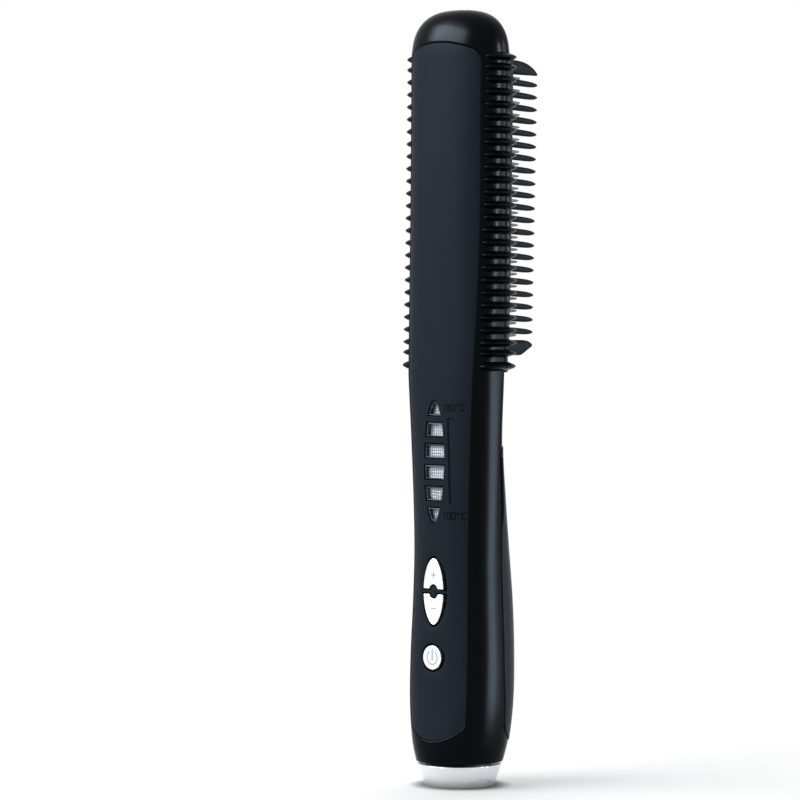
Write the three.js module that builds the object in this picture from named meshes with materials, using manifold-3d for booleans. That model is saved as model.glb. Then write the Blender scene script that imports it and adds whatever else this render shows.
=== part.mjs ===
// Hair straightening comb: a mains-heated comb that stands upright on its end cap.
// Lengths are millimetres. +Z runs from the end cap to the domed head, the buttons face -Y and the
// teeth point to +Y. Depths are measured from the axis of the end cap. The finished group is moved
// in Y so that its origin is at the middle of its footprint, on the surface that it stands on.
import * as THREE from "three";
import { mergeVertices } from "three/addons/utils/BufferGeometryUtils.js";
import Module from "manifold-3d";

const wasm = await Module();
wasm.setup();

// Clearances and walls
const CLEARANCE = 0.3;
const WALL = 2.8;
const PARTING_GAP = 0.3;

// Lengths along the comb
const CAP_HEIGHT = 8.2;
const HANDLE_LENGTH = 120.3;
const NECK_LENGTH = 27;
const FOOT_TO_TEETH = 9.85;
const TOOTH_COUNT = 23;
const TOOTH_PITCH = 4.655;
const TEETH_TO_DOME = 1.42;
const DOME_HEIGHT = 20.5;
const DOME_POWER = 2.6;

// Body: half widths, front depths and back depths at its stations
const CAP_TOP_RADIUS = 15.75;
const COLLAR_SIDE = 17.4;
const PALM_SIDE = 18.9;
const WAIST_SIDE = 17.8;
const NECK_SIDE = 19.1;
const HEAD_FOOT_SIDE = 20.3;
const HEAD_SIDE = 21;
const DOME_SIDE = 21.4;
const PALM_FRONT = 15.7;
const WAIST_FRONT = 15;
const HEAD_FRONT = 14.3;
const DOME_FRONT = 13.7;
const COLLAR_BACK = 17.2;
const PALM_BACK = 19.3;
const WAIST_BACK = 17.2;
const NECK_BACK = 6.4;
const HEAD_FOOT_BACK = 10.2;
const DOME_BACK = 11.5;

// Ribs on the sides of the head
const RIB_HEIGHT = 3.4;
const RIB_THICKNESS = 3;
const LAST_RIB_THICKNESS = 3.5;
const RIB_START_ANGLE = -27;
const RIB_END_ANGLE = 56;
const END_RIB_GAP = 3.9;
const LAST_RIB_GAP = 4.8;
const RIB_TIP = 0.9;
const RIB_ROOT = 0.7;

// Guard teeth at the sides and heated teeth in the middle
const GUARD_REACH_FOOT = 15.1;
const GUARD_REACH_TOP = 15.8;
const GUARD_TOOTH_THICKNESS = 2.6;
const GUARD_TOOTH_TIP_WIDTH = 1.9;
const HEATED_REACH_FOOT = 19.9;
const HEATED_REACH_TOP = 20.8;
const HEATED_TOOTH_THICKNESS = 2.3;
const HEATED_TOOTH_WIDTH = 10;
const HEATED_TOOTH_TIP_WIDTH = 3.2;
const TOOTH_ROOT_DROP = 0.6;
const TOOTH_TIP_DROP = 0.95;
const TOP_GUARD_HEIGHT = 5.6;
const TOP_GUARD_DROP = 2;
const BOTTOM_GUARD_HEIGHT = 6;
const BOTTOM_GUARD_RISE = 1;
const BOTTOM_GUARD_STEP = 1.6;
const BOTTOM_GUARD_SLANT = 11.5;

// Rim of the comb frame and what lies inside it
const RIM_SHARE = 0.775;
const RIM_WALL = 0.8;
const RIM_DROP = 0.6;
const RIM_END = 1;
const RAIL_WIDTH = 4.1;
const PLATE_UNDERSIDE = 4.9;
const PLATE_THICKNESS = 3;
const PLATE_LUG_WIDTH = 14;
const PLATE_LUG_LENGTH = 5;
const PEDESTAL_DROP = 0.5;

// Front panel
const PANEL_THICKNESS = 1.3;
const PANEL_RECESS = 0.25;
const PANEL_SHARE_HANDLE = 0.725;
const PANEL_SHARE_HEAD = 0.79;
const PANEL_ABOVE_FOOT = 9.1;
const PANEL_ABOVE_DOME_FOOT = 7.7;
const PANEL_BOTTOM_RISE = 5.7;
const PANEL_TOP_RISE = 3.5;
const PANEL_BOTTOM_CORNER = 2;
const PANEL_TOP_CORNER = 3.2;
const PANEL_WIDENS_BELOW_NECK = 5;
const PANEL_WIDENS_ABOVE_HEAD_FOOT = 26;

// Temperature display: six deep windows that slice a pointed oval
const WINDOW_COUNT = 6;
const WINDOW_PITCH = 7.9;
const WINDOW_GAP = 2.6;
const WINDOW_WIDTH = 9.8;
const WINDOWS_BELOW_NECK = 7.4;
const WINDOW_RECESS = 0.9;
const WINDOW_WALL = 0.45;
const OVAL_POWER = 0.55;

// Buttons
const BUTTON_TRAVEL = 0.6;
const BUTTON_PROUD = 0.45;
const BUTTON_CLEARANCE = 0.35;
const POWER_RADIUS = 4.6;
const POWER_ABOVE_FOOT = 39.7;
const TEMP_ABOVE_POWER = 24.5;
const TEMP_LENGTH = 25;
const TEMP_WIDTH = 9.7;
const TEMP_SPLIT = 2.4;
const TEMP_NOTCH_RADIUS = 3.1;
const FLANGE_WIDTH = 0.8;
const FLANGE_THICKNESS = 1;
const STEM_RADIUS = 1.5;
const STEM_FROM_CENTRE = 7.3;

// Control board and what it carries
const BOARD_FRONT = -5;
const BOARD_THICKNESS = 1.6;
const BOARD_WIDTH = 23;
const BOARD_BELOW_POWER = 11.1;
const BOARD_ABOVE_NECK = 15;
const BOARD_POST_SIDE = 8.5;
const BOARD_POST_END = 4.2;
const SWITCH_SIZE = 6;
const SWITCH_HEIGHT = 3.6;
const PLUNGER_RADIUS = 1.6;
const PLUNGER_LENGTH = 1.6;
const BAFFLE_WIDTH = 11;
const BAFFLE_WALL = 1.6;
const LED_SIZE = 3;
const LED_HEIGHT = 1.6;
const TRIAC_WIDTH = 10;
const TRIAC_LENGTH = 14;
const TRIAC_HEIGHT = 4.5;
const TRIAC_BELOW_BOARD_TOP = 13.5;
const CAPACITOR_WIDTH = 13;
const CAPACITOR_LENGTH = 12;
const CAPACITOR_HEIGHT = 7;
const CONTROLLER_SIZE = 8;
const CONTROLLER_HEIGHT = 1.6;
const COMPONENT_SPACING = 8;

// Heater pack behind the heat plate
const HEATER_WIDTH = 10;
const HEATER_LENGTH = 90;
const HEATER_THICKNESS = 1.3;
const SHEET_THICKNESS = 0.6;
const HEATER_CLAMP_WIDTH = 13;
const HEATER_CLAMP_THICKNESS = 1.2;
const HEATER_CLAMP_END = 7;
const FUSE_RADIUS = 1.6;
const FUSE_LENGTH = 9;
const SENSOR_RADIUS = 0.9;
const SENSOR_LENGTH = 6;
const SENSOR_FROM_MIDDLE = 9.4;
const LEAD_RADIUS = 0.6;
const LEAD_SPACING = 10;
const LEAD_END_SPACING = 7.6;
const LEAD_STRAIGHT = 4;
const LEAD_SWEEP = 14;
const LEAD_LANDING = 10;

// Screws and the posts that take them
const SCREW_RADIUS = 1;
const SCREW_HEAD_RADIUS = 2;
const SCREW_HEAD_HEIGHT = 1.3;
const POST_RADIUS = 2.4;
const PLATE_SCREW_GRIP = 1.4;
const PLATE_SCREW_EDGE = 2;
const CASE_POST_TOP = 3.7;
const CASE_BOSS_RADIUS = 3.6;
const NECK_SCREW_BELOW_HEAD = 5.1;

// End cap, cord gland and cord clamp
const CAP_BOTTOM_RADIUS = 13.15;
const CAP_EDGE = 0.9;
const CAP_WALL = 2.4;
const CAP_SLEEVE_WALL = 1.3;
const CAP_SLEEVE_HEIGHT = 6;
const GLAND_BORE_RADIUS = 3.6;
const GLAND_RADIUS = 5.8;
const GLAND_FLANGE_RADIUS = 7.3;
const GLAND_FLANGE_THICKNESS = 0.9;
const GLAND_NOZZLE_RADIUS = 5;
const GLAND_HEIGHT = 11;
const CORD_CLAMP_ABOVE_FOOT = 14;
const CORD_CLAMP_POST_SIDE = 7.5;
const CORD_CLAMP_DEPTH = 3.2;

// Rear grip cover
const COVER_PROUD = 0.35;
const COVER_ABOVE_FOOT = 7.1;
const COVER_BOTTOM_CORNER = 9;
const COVER_TOP_CORNER = 6;
const COVER_LIP_WIDTH = 14;
const COVER_LIP_LENGTH = 5;
const SLOT_LENGTH = 29;
const SLOT_WIDTH = 1.4;
const SLOT_DEPTH = 1.1;

// How finely curved surfaces are divided
const BODY_SEGMENTS = 32;
const INNER_SEGMENTS = 20;
const ROUND_SEGMENTS = 20;
const SMALL_SEGMENTS = 10;
const FAR = 60;

// Stations worked out from the lengths
const handleFoot = CAP_HEIGHT + CLEARANCE;
const palm = handleFoot + 0.345 * HANDLE_LENGTH;
const waist = handleFoot + 0.655 * HANDLE_LENGTH;
const neckFoot = handleFoot + HANDLE_LENGTH;
const headFoot = neckFoot + NECK_LENGTH;
const lowestTooth = headFoot + FOOT_TO_TEETH;
const highestTooth = lowestTooth + (TOOTH_COUNT - 1) * TOOTH_PITCH;
const domeFoot = highestTooth + TEETH_TO_DOME;
const crown = domeFoot + DOME_HEIGHT;
const coverBottom = handleFoot + COVER_ABOVE_FOOT;
const panelFoot = handleFoot + PANEL_ABOVE_FOOT;
const panelTop = domeFoot + PANEL_ABOVE_DOME_FOOT;
const powerCentre = handleFoot + POWER_ABOVE_FOOT;
const tempCentre = powerCentre + TEMP_ABOVE_POWER;
const windowCentre = neckFoot - WINDOWS_BELOW_NECK;
const boardBottom = powerCentre - BOARD_BELOW_POWER;
const boardTop = neckFoot + BOARD_ABOVE_NECK;
const clampHeight = handleFoot + CORD_CLAMP_ABOVE_FOOT;
const neckScrewHeight = headFoot - NECK_SCREW_BELOW_HEAD;
// The case screw passes between the power button and the lower temperature button
const caseScrewHeight = (powerCentre + POWER_RADIUS + tempCentre - TEMP_LENGTH / 2) / 2;

const bodyStations = [
  { z: handleFoot, side: CAP_TOP_RADIUS, front: CAP_TOP_RADIUS, back: CAP_TOP_RADIUS, square: 2.15 },
  { z: handleFoot + 0.065 * HANDLE_LENGTH, side: COLLAR_SIDE, front: 16.4, back: COLLAR_BACK, square: 2.3 },
  { z: handleFoot + 0.19 * HANDLE_LENGTH, side: 18.75, front: PALM_FRONT + 0.5, back: 18.6, square: 2.4 },
  { z: palm, side: PALM_SIDE, front: PALM_FRONT, back: PALM_BACK, square: 2.35 },
  { z: handleFoot + 0.5 * HANDLE_LENGTH, side: 18.2, front: 15.2, back: 19.3, square: 2.27 },
  { z: waist, side: WAIST_SIDE, front: WAIST_FRONT, back: WAIST_BACK, square: 2.22 },
  { z: handleFoot + 0.81 * HANDLE_LENGTH, side: 18.2, front: 15.2, back: 13.6, square: 2.22 },
  { z: neckFoot, side: NECK_SIDE, front: 14.9, back: 7.6, square: 2.45 },
  { z: headFoot - 3, side: 20.2, front: 14.8, back: NECK_BACK, square: 2.55 },
  { z: headFoot, side: HEAD_FOOT_SIDE, front: 14.7, back: NECK_BACK, square: 2.5 },
  { z: (headFoot + domeFoot) / 2, side: HEAD_SIDE, front: HEAD_FRONT, back: NECK_BACK, square: 2.4 },
  { z: domeFoot, side: DOME_SIDE, front: DOME_FRONT, back: NECK_BACK, square: 2.4 },
];
const headBackStations = [
  { z: headFoot, back: HEAD_FOOT_BACK },
  { z: (headFoot + domeFoot) / 2, back: 11 },
  { z: domeFoot, back: DOME_BACK },
];
const partingStations = [
  { z: 0, depth: 5.5 },
  { z: handleFoot + 0.14 * HANDLE_LENGTH, depth: 5 },
  { z: handleFoot + 0.28 * HANDLE_LENGTH, depth: 3.8 },
  { z: handleFoot + 0.53 * HANDLE_LENGTH, depth: 3.6 },
  { z: handleFoot + 0.76 * HANDLE_LENGTH, depth: 3.4 },
  { z: handleFoot + 0.87 * HANDLE_LENGTH, depth: 2.4 },
  { z: neckFoot, depth: 0.9 },
  { z: headFoot, depth: 1.8 },
  { z: domeFoot, depth: 2.4 },
  { z: crown + 5, depth: 2.4 },
];

// Smooth curve through the stations, read at height z.
function along(stations, key, z) {
  const last = stations.length - 1;
  if (z <= stations[0].z) return stations[0][key];
  if (z >= stations[last].z) return stations[last][key];
  let i = 0;
  while (stations[i + 1].z < z) i++;
  const slope = (j) => {
    const a = stations[Math.max(0, j - 1)];
    const b = stations[Math.min(last, j + 1)];
    return (b[key] - a[key]) / (b.z - a.z);
  };
  const span = stations[i + 1].z - stations[i].z;
  const t = (z - stations[i].z) / span;
  return (
    (2 * t ** 3 - 3 * t ** 2 + 1) * stations[i][key] +
    (t ** 3 - 2 * t ** 2 + t) * span * slope(i) +
    (3 * t ** 2 - 2 * t ** 3) * stations[i + 1][key] +
    (t ** 3 - t ** 2) * span * slope(i + 1)
  );
}

const side = (z) => along(bodyStations, "side", z);
const front = (z) => along(bodyStations, "front", z);
const headBack = (z) => along(headBackStations, "back", z);

// Half widths of the body at height z, with its surface moved out by grow.
function section(z, grow) {
  const foot = Math.min(z, domeFoot);
  const onHead = z > headFoot - grow;
  const back = onHead ? headBack(foot) : along(bodyStations, "back", foot);
  const climb = Math.max(0, z - domeFoot) / (DOME_HEIGHT + grow);
  const shrink = Math.max(0, 1 - climb ** DOME_POWER) ** (1 / DOME_POWER);
  return {
    side: (side(foot) + grow) * shrink,
    front: (front(foot) + grow) * shrink,
    back: (back + grow) * shrink,
    square: along(bodyStations, "square", foot),
  };
}

// Point of the body's surface at height z. Angle 0 is the right side and 90 degrees the back.
function bodyPoint(z, degrees, grow) {
  const s = section(z, grow);
  const angle = THREE.MathUtils.degToRad(degrees);
  const c = Math.cos(angle);
  const n = Math.sin(angle);
  const power = 2 / s.square;
  return new THREE.Vector3(
    Math.sign(c) * s.side * Math.abs(c) ** power,
    Math.sign(n) * (n > 0 ? s.back : s.front) * Math.abs(n) ** power,
    z,
  );
}

// Depth of the front surface at height z and half width x.
function frontDepth(z, x, grow) {
  const s = section(z, grow);
  return s.front * (1 - Math.min(1, Math.abs(x) / s.side) ** s.square) ** (1 / s.square);
}

// Closed solid of a three.js geometry.
function solid(geometry) {
  const bare = geometry.index ? geometry.toNonIndexed() : geometry.clone();
  bare.deleteAttribute("normal");
  bare.deleteAttribute("uv");
  const merged = mergeVertices(bare, 1e-4);
  return new wasm.Manifold(
    new wasm.Mesh({
      numProp: 3,
      vertProperties: merged.attributes.position.array,
      triVerts: new Uint32Array(merged.index.array),
    }),
  );
}

// Solid that runs through rings of points and is closed at both ends.
function loft(rings) {
  const count = rings[0].length;
  const points = rings.flat();
  const triangles = [];
  for (let i = 0; i + 1 < rings.length; i++) {
    for (let j = 0; j < count; j++) {
      const a = i * count + j;
      const b = i * count + ((j + 1) % count);
      triangles.push([a, b, b + count], [a, b + count, a + count]);
    }
  }
  const closeEnd = (ring, first, turned) => {
    const middle = ring.reduce((sum, p) => sum.add(p), new THREE.Vector3()).divideScalar(count);
    points.push(middle);
    for (let j = 0; j < count; j++) {
      const pair = [first + j, first + ((j + 1) % count)];
      triangles.push([points.length - 1, ...(turned ? pair.reverse() : pair)]);
    }
  };
  closeEnd(rings[0], 0, true);
  closeEnd(rings[rings.length - 1], (rings.length - 1) * count, false);
  let volume = 0;
  for (const [a, b, c] of triangles) volume += points[a].dot(points[b].clone().cross(points[c]));
  const ordered = volume < 0 ? triangles.map(([a, b, c]) => [a, c, b]) : triangles;
  const geometry = new THREE.BufferGeometry().setFromPoints(points);
  geometry.setIndex(ordered.flat());
  return solid(geometry);
}

function joined(solids) {
  return solids.reduce((sum, next) => sum.add(next));
}

// Heights of the rings that shape the body, with a pair at the step behind the head.
function ringHeights(grow, low) {
  const step = headFoot - grow;
  const heights = [low, handleFoot];
  for (let share = 0.06; share < 1.01; share += 0.117) heights.push(handleFoot + share * HANDLE_LENGTH);
  heights.push(step - 8, step - 0.2, step + 0.4);
  for (let share = 0.33; share < 1.01; share += 0.33) heights.push(headFoot + share * (domeFoot - headFoot));
  for (const share of [0.33, 0.56, 0.75, 0.89, 0.97, 0.997]) {
    heights.push(domeFoot + share * (DOME_HEIGHT + grow));
  }
  return heights.filter((z) => z >= low).sort((a, b) => a - b);
}

function bodySolid(grow, low, segments) {
  const rings = ringHeights(grow, low).map((z) => {
    const ring = [];
    for (let j = 0; j < segments; j++) ring.push(bodyPoint(z, (360 * j) / segments, grow));
    return ring;
  });
  return loft(rings);
}

const flat = (points) => new THREE.Shape(points.map(([x, y]) => new THREE.Vector2(x, y)));

// Prism of an outline given as x and z, from depth low to depth high.
function prismY(points, low, high) {
  const geometry = new THREE.ExtrudeGeometry(flat(points), { depth: high - low, bevelEnabled: false });
  geometry.rotateX(Math.PI / 2);
  geometry.translate(0, high, 0);
  return solid(geometry);
}

// Prism of an outline given as depth and z, across the width from -half to half.
function prismX(points, half) {
  const geometry = new THREE.ExtrudeGeometry(flat(points), { depth: 2 * half, bevelEnabled: false });
  geometry.applyMatrix4(
    new THREE.Matrix4().makeBasis(
      new THREE.Vector3(0, 1, 0),
      new THREE.Vector3(0, 0, 1),
      new THREE.Vector3(1, 0, 0),
    ),
  );
  geometry.translate(-half, 0, 0);
  return solid(geometry);
}

function box(xLow, xHigh, yLow, yHigh, zLow, zHigh) {
  const geometry = new THREE.BoxGeometry(xHigh - xLow, yHigh - yLow, zHigh - zLow);
  geometry.translate((xLow + xHigh) / 2, (yLow + yHigh) / 2, (zLow + zHigh) / 2);
  return solid(geometry);
}

// Round bar along Y.
function rodY(x, z, radius, low, high, segments = SMALL_SEGMENTS) {
  const geometry = new THREE.CylinderGeometry(radius, radius, high - low, segments);
  geometry.translate(x, (low + high) / 2, z);
  return solid(geometry);
}

// Round bar along Z.
function rodZ(x, y, radius, low, high, segments = SMALL_SEGMENTS) {
  const geometry = new THREE.CylinderGeometry(radius, radius, high - low, segments);
  geometry.rotateX(Math.PI / 2);
  geometry.translate(x, y, (low + high) / 2);
  return solid(geometry);
}

// Body turned round the axis of the end cap from a profile of radius and height.
function turned(profile, segments) {
  const points = profile.map(([r, z]) => new THREE.Vector2(r, z));
  const geometry = new THREE.LatheGeometry(points, segments);
  geometry.rotateX(Math.PI / 2);
  const made = solid(geometry);
  if (made.volume() > 0) return made;
  return turned([...profile].reverse(), segments);
}

// Parting line between the front shell and the pieces behind it
function behindParting(offset) {
  const curve = [];
  const steps = 16;
  for (let i = 0; i <= steps; i++) {
    const z = -5 + ((crown + 10) * i) / steps;
    curve.push([along(partingStations, "depth", z) + offset, z]);
  }
  return prismX([...curve, [FAR, crown + 5], [FAR, -5]], FAR);
}

// Rear grip cover seen from the side, between its two rounded ends
function coverOutline(offset) {
  const parting = (z) => along(partingStations, "depth", z) + PARTING_GAP / 2 - offset;
  const low = coverBottom - offset;
  const high = neckFoot - 0.3 + offset;
  const points = [];
  const steps = 6;
  const corner = (foot, length, direction) => {
    const made = [];
    for (let i = 0; i <= steps; i++) {
      const turn = (Math.PI / 2) * (i / steps);
      const z = foot + direction * length * (1 - Math.sin(turn));
      made.push([parting(z) + 1.5 * length * (1 - Math.cos(turn)), z]);
    }
    return made;
  };
  points.push(...corner(low, COVER_BOTTOM_CORNER, 1).reverse());
  for (let share = 0.15; share < 0.9; share += 0.125) {
    const z = low + share * (high - low);
    points.push([parting(z), z]);
  }
  points.push(...corner(high, COVER_TOP_CORNER, -1));
  return [...points, [FAR, high], [FAR, low]];
}

// Front panel outline
function panelShare(z) {
  const t = THREE.MathUtils.smoothstep(
    z,
    neckFoot - PANEL_WIDENS_BELOW_NECK,
    headFoot + PANEL_WIDENS_ABOVE_HEAD_FOOT,
  );
  return PANEL_SHARE_HANDLE + (PANEL_SHARE_HEAD - PANEL_SHARE_HANDLE) * t;
}

// The panel ends in shallow arcs that turn into its sides by rounded corners.
function panelOutline(grow) {
  const half = (z) => side(Math.min(z, domeFoot)) * panelShare(z) + grow;
  const ends = [
    { apex: panelFoot, rise: PANEL_BOTTOM_RISE, corner: PANEL_BOTTOM_CORNER, direction: -1 },
    { apex: panelTop, rise: PANEL_TOP_RISE, corner: PANEL_TOP_CORNER, direction: 1 },
  ];
  const [low, high] = ends.map((end) => end.apex - end.direction * (end.rise + end.corner));
  const endArc = ({ apex, rise, corner, direction }) => {
    const wide = half(apex - direction * (rise + corner));
    return [0.97, 0.9, 0.8, 0.55, 0.28, 0, -0.28, -0.55, -0.8, -0.9, -0.97].map((share) => {
      const x = share * wide;
      const turn = Math.max(0, (Math.abs(x) - wide + corner) / corner);
      const drop = rise * share ** 2 + corner * (1 - Math.sqrt(1 - turn ** 2));
      return [x, apex + direction * (grow - drop)];
    });
  };
  const steps = 9;
  const right = [];
  for (let i = 0; i <= steps; i++) {
    const z = low + ((high - low) * i) / steps;
    right.push([half(z), z]);
  }
  const left = right.map(([x, z]) => [-x, z]).reverse();
  return [...right, ...endArc(ends[1]), ...left, ...endArc(ends[0]).reverse()];
}

// Ribs: heights from the dome down to the foot of the head
const toothHeights = [];
for (let i = 0; i < TOOTH_COUNT; i++) toothHeights.push(highestTooth - i * TOOTH_PITCH);
const ribs = [
  { z: highestTooth + END_RIB_GAP, thickness: RIB_THICKNESS, ends: true },
  ...toothHeights.map((z) => ({ z, thickness: RIB_THICKNESS, ends: false })),
  { z: lowestTooth - END_RIB_GAP, thickness: RIB_THICKNESS, ends: true },
  { z: lowestTooth - END_RIB_GAP - LAST_RIB_GAP, thickness: LAST_RIB_THICKNESS, ends: true },
];

// How far a rib stands out at a share of its way from the front to the back: its ends are rounded.
function ribRise(share, ends) {
  const climb = Math.sqrt(1 - (1 - Math.min(1, share / 0.25)) ** 2);
  const fall = ends && share > 0.8 ? Math.sqrt(Math.cos((Math.PI / 2) * ((share - 0.8) / 0.2))) : 1;
  const easing = share > 0.5 ? 1 - 0.5 * (share - 0.5) : 1;
  return RIB_HEIGHT * climb * easing * fall;
}

function rib({ z, thickness, ends }, direction) {
  const rings = [0, 0.07, 0.3, 0.8, 1].map((share) => {
    const angle = RIB_START_ANGLE + (RIB_END_ANGLE - RIB_START_ANGLE) * share;
    const rise = ribRise(share, ends);
    const size = Math.min(1, 0.35 + rise / RIB_HEIGHT);
    const at = (grow, lift) => {
      const p = bodyPoint(z, angle, grow);
      return new THREE.Vector3(direction * p.x, p.y, z + size * lift);
    };
    return [
      at(-RIB_ROOT, thickness / 2),
      at(rise, RIB_TIP / 2),
      at(rise, -RIB_TIP / 2),
      at(-RIB_ROOT, -thickness / 2),
    ];
  });
  return loft(rings);
}

// Tooth that runs back from a root: a six-sided section that narrows to a rounded tip. The top and
// bottom profiles give its edges over the share of its length, measured from its height.
function tooth({ x, z, root, tip, rootWidth, tipWidth, top, bottom, shares }) {
  const rings = shares.map((share) => {
    const y = root + (tip - root) * share;
    const half = THREE.MathUtils.lerp(rootWidth, tipWidth, share ** 0.8) / 2;
    const high = top(share);
    const low = bottom(share);
    const middle = (high + low) / 2;
    return [
      new THREE.Vector3(x + half, y, z + middle),
      new THREE.Vector3(x + 0.55 * half, y, z + high),
      new THREE.Vector3(x - 0.55 * half, y, z + high),
      new THREE.Vector3(x - half, y, z + middle),
      new THREE.Vector3(x - 0.55 * half, y, z + low),
      new THREE.Vector3(x + 0.55 * half, y, z + low),
    ];
  });
  return loft(rings);
}

// Depth of the tips of a row, whose reach grows from the foot of the head to the dome
function tipDepth(z, foot, top) {
  return headBack(z) + THREE.MathUtils.mapLinear(z, lowestTooth, highestTooth, foot, top);
}

const rowSide = (z) => side(z) * RIM_SHARE - RIM_WALL - CLEARANCE - RAIL_WIDTH / 2;
const rimDepth = (z) => headBack(z) - RIM_DROP;
const bullet = (s) => (GUARD_TOOTH_THICKNESS / 2) * Math.sqrt(1 - 0.9 * s ** 5) * (1 - 0.12 * s);
const toothMiddle = (s) => -THREE.MathUtils.lerp(TOOTH_ROOT_DROP, TOOTH_TIP_DROP, s);

const guardProfiles = {
  tooth: {
    top: (s) => toothMiddle(s) + bullet(s),
    bottom: (s) => toothMiddle(s) - bullet(s),
    shares: [0, 0.5, 0.85, 1],
  },
  topGuard: {
    top: (s) => 0.3 - TOP_GUARD_DROP + (TOP_GUARD_HEIGHT - 0.3) * (1 - (0.985 * s) ** 3) ** 0.7,
    bottom: () => -TOP_GUARD_DROP,
    shares: [0, 0.3, 0.55, 0.75, 0.88, 0.96, 1],
  },
  bottomGuard: {
    top: (s) => BOTTOM_GUARD_RISE - 0.3 * s - 1.2 * s ** 8,
    bottom: (s) =>
      BOTTOM_GUARD_RISE -
      BOTTOM_GUARD_HEIGHT +
      (s < 0.1 ? BOTTOM_GUARD_STEP : 0) +
      BOTTOM_GUARD_SLANT * Math.max(0, s - 0.64),
    shares: [0, 0.09, 0.13, 0.64, 0.72, 0.88, 0.96, 1],
  },
};

// Rail of one guard comb, with a tooth behind each of the ribs that carry one
function guardComb(direction) {
  const low = lowestTooth - 4;
  const high = highestTooth + 4;
  const steps = 4;
  const rings = [];
  for (let i = 0; i <= steps; i++) {
    const z = low + ((high - low) * i) / steps;
    const x = direction * rowSide(z);
    const top = rimDepth(z);
    const bottom = PLATE_UNDERSIDE + PLATE_THICKNESS + CLEARANCE;
    const half = RAIL_WIDTH / 2;
    rings.push([
      new THREE.Vector3(x + half, bottom, z),
      new THREE.Vector3(x + half, top - 0.5, z),
      new THREE.Vector3(x + half - 0.6, top, z),
      new THREE.Vector3(x - half + 0.6, top, z),
      new THREE.Vector3(x - half, top - 0.5, z),
      new THREE.Vector3(x - half, bottom, z),
    ]);
  }
  const teeth = toothHeights.map((z, i) => {
    const kind = i === 0 ? "topGuard" : i === TOOTH_COUNT - 1 ? "bottomGuard" : "tooth";
    return tooth({
      x: direction * rowSide(z),
      z,
      root: rimDepth(z) - 1,
      tip: tipDepth(z, GUARD_REACH_FOOT, GUARD_REACH_TOP),
      rootWidth: RAIL_WIDTH - 0.1,
      tipWidth: GUARD_TOOTH_TIP_WIDTH,
      ...guardProfiles[kind],
    });
  });
  return joined([loft(rings), ...teeth]);
}

// Heat plate: slab with two lugs, a raised pedestal between the rails and the middle row of teeth
const plateTop = PLATE_UNDERSIDE + PLATE_THICKNESS;
const plateLow = lowestTooth - 3;
const plateHigh = highestTooth + 3;
const pedestalHalf = (z) => rowSide(z) - RAIL_WIDTH / 2 - CLEARANCE;
const slabHalf = rowSide(lowestTooth) + RAIL_WIDTH / 2 - 0.5;

function heatPlate() {
  const slab = box(-slabHalf, slabHalf, PLATE_UNDERSIDE, plateTop, plateLow, plateHigh);
  const lugs = box(
    -PLATE_LUG_WIDTH / 2,
    PLATE_LUG_WIDTH / 2,
    PLATE_UNDERSIDE,
    plateTop,
    plateLow - PLATE_LUG_LENGTH,
    plateHigh + PLATE_LUG_LENGTH,
  );
  const pedestalRing = (z) => {
    const half = pedestalHalf(z);
    const top = rimDepth(z) - PEDESTAL_DROP;
    return [
      new THREE.Vector3(half, plateTop - 0.5, z),
      new THREE.Vector3(half, top, z),
      new THREE.Vector3(-half, top, z),
      new THREE.Vector3(-half, plateTop - 0.5, z),
    ];
  };
  const middle = (plateLow + plateHigh) / 2;
  const pedestal = loft([plateLow, middle, plateHigh].map(pedestalRing));
  const teeth = toothHeights.slice(0, -1).map((z) => {
    const height = z - TOOTH_PITCH / 2;
    return tooth({
      x: 0,
      z: height,
      root: rimDepth(height) - PEDESTAL_DROP - 0.8,
      tip: tipDepth(height, HEATED_REACH_FOOT, HEATED_REACH_TOP),
      rootWidth: HEATED_TOOTH_WIDTH,
      tipWidth: HEATED_TOOTH_TIP_WIDTH,
      top: (s) => (HEATED_TOOTH_THICKNESS / 2) * (1 - 0.6 * s ** 3),
      bottom: (s) => (-HEATED_TOOTH_THICKNESS / 2) * (1 - 0.6 * s ** 3),
      shares: [0, 0.6, 0.92, 1],
    });
  });
  let plate = joined([slab, lugs, pedestal, ...teeth]);
  for (const z of lugScrews) plate = plate.subtract(rodY(0, z, screwHole, -FAR, FAR));
  for (const z of clampScrews) plate = plate.subtract(rodY(0, z, screwHole, -FAR, plateTop - 0.4));
  return plate;
}

// Opening of the comb frame, and the raised rim round it
function frameBlock(inset, low, high, depthLow, depthHigh) {
  const ring = (z) => {
    const half = side(z) * RIM_SHARE - inset;
    const top = depthHigh === FAR ? FAR : rimDepth(z);
    return [
      new THREE.Vector3(half, depthLow, z),
      new THREE.Vector3(half, top - 0.9, z),
      new THREE.Vector3(half - 0.9, top, z),
      new THREE.Vector3(-half + 0.9, top, z),
      new THREE.Vector3(-half, top - 0.9, z),
      new THREE.Vector3(-half, depthLow, z),
    ];
  };
  return loft([low, (low + high) / 2, high].map(ring));
}

// Pointed ovals of the display and of the temperature buttons
function ovalHalf(distance, halfLength, halfWidth) {
  return halfWidth * Math.max(0, 1 - (distance / halfLength) ** 2) ** OVAL_POWER;
}

const displayHalf = (WINDOW_COUNT * WINDOW_PITCH - WINDOW_GAP) / 2;

function windowOutline(index, grow) {
  const low = windowCentre - displayHalf + index * WINDOW_PITCH;
  const high = low + WINDOW_PITCH - WINDOW_GAP;
  const right = [];
  const steps = 4;
  for (let i = 0; i <= steps; i++) {
    const z = low + ((high - low) * i) / steps;
    const half = ovalHalf(z - windowCentre, displayHalf + 0.4, WINDOW_WIDTH / 2);
    const lift = i === 0 ? -grow : i === steps ? grow : 0;
    right.push([half + grow, z + lift]);
  }
  return [...right, ...right.map(([x, z]) => [-x, z]).reverse()];
}

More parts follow.
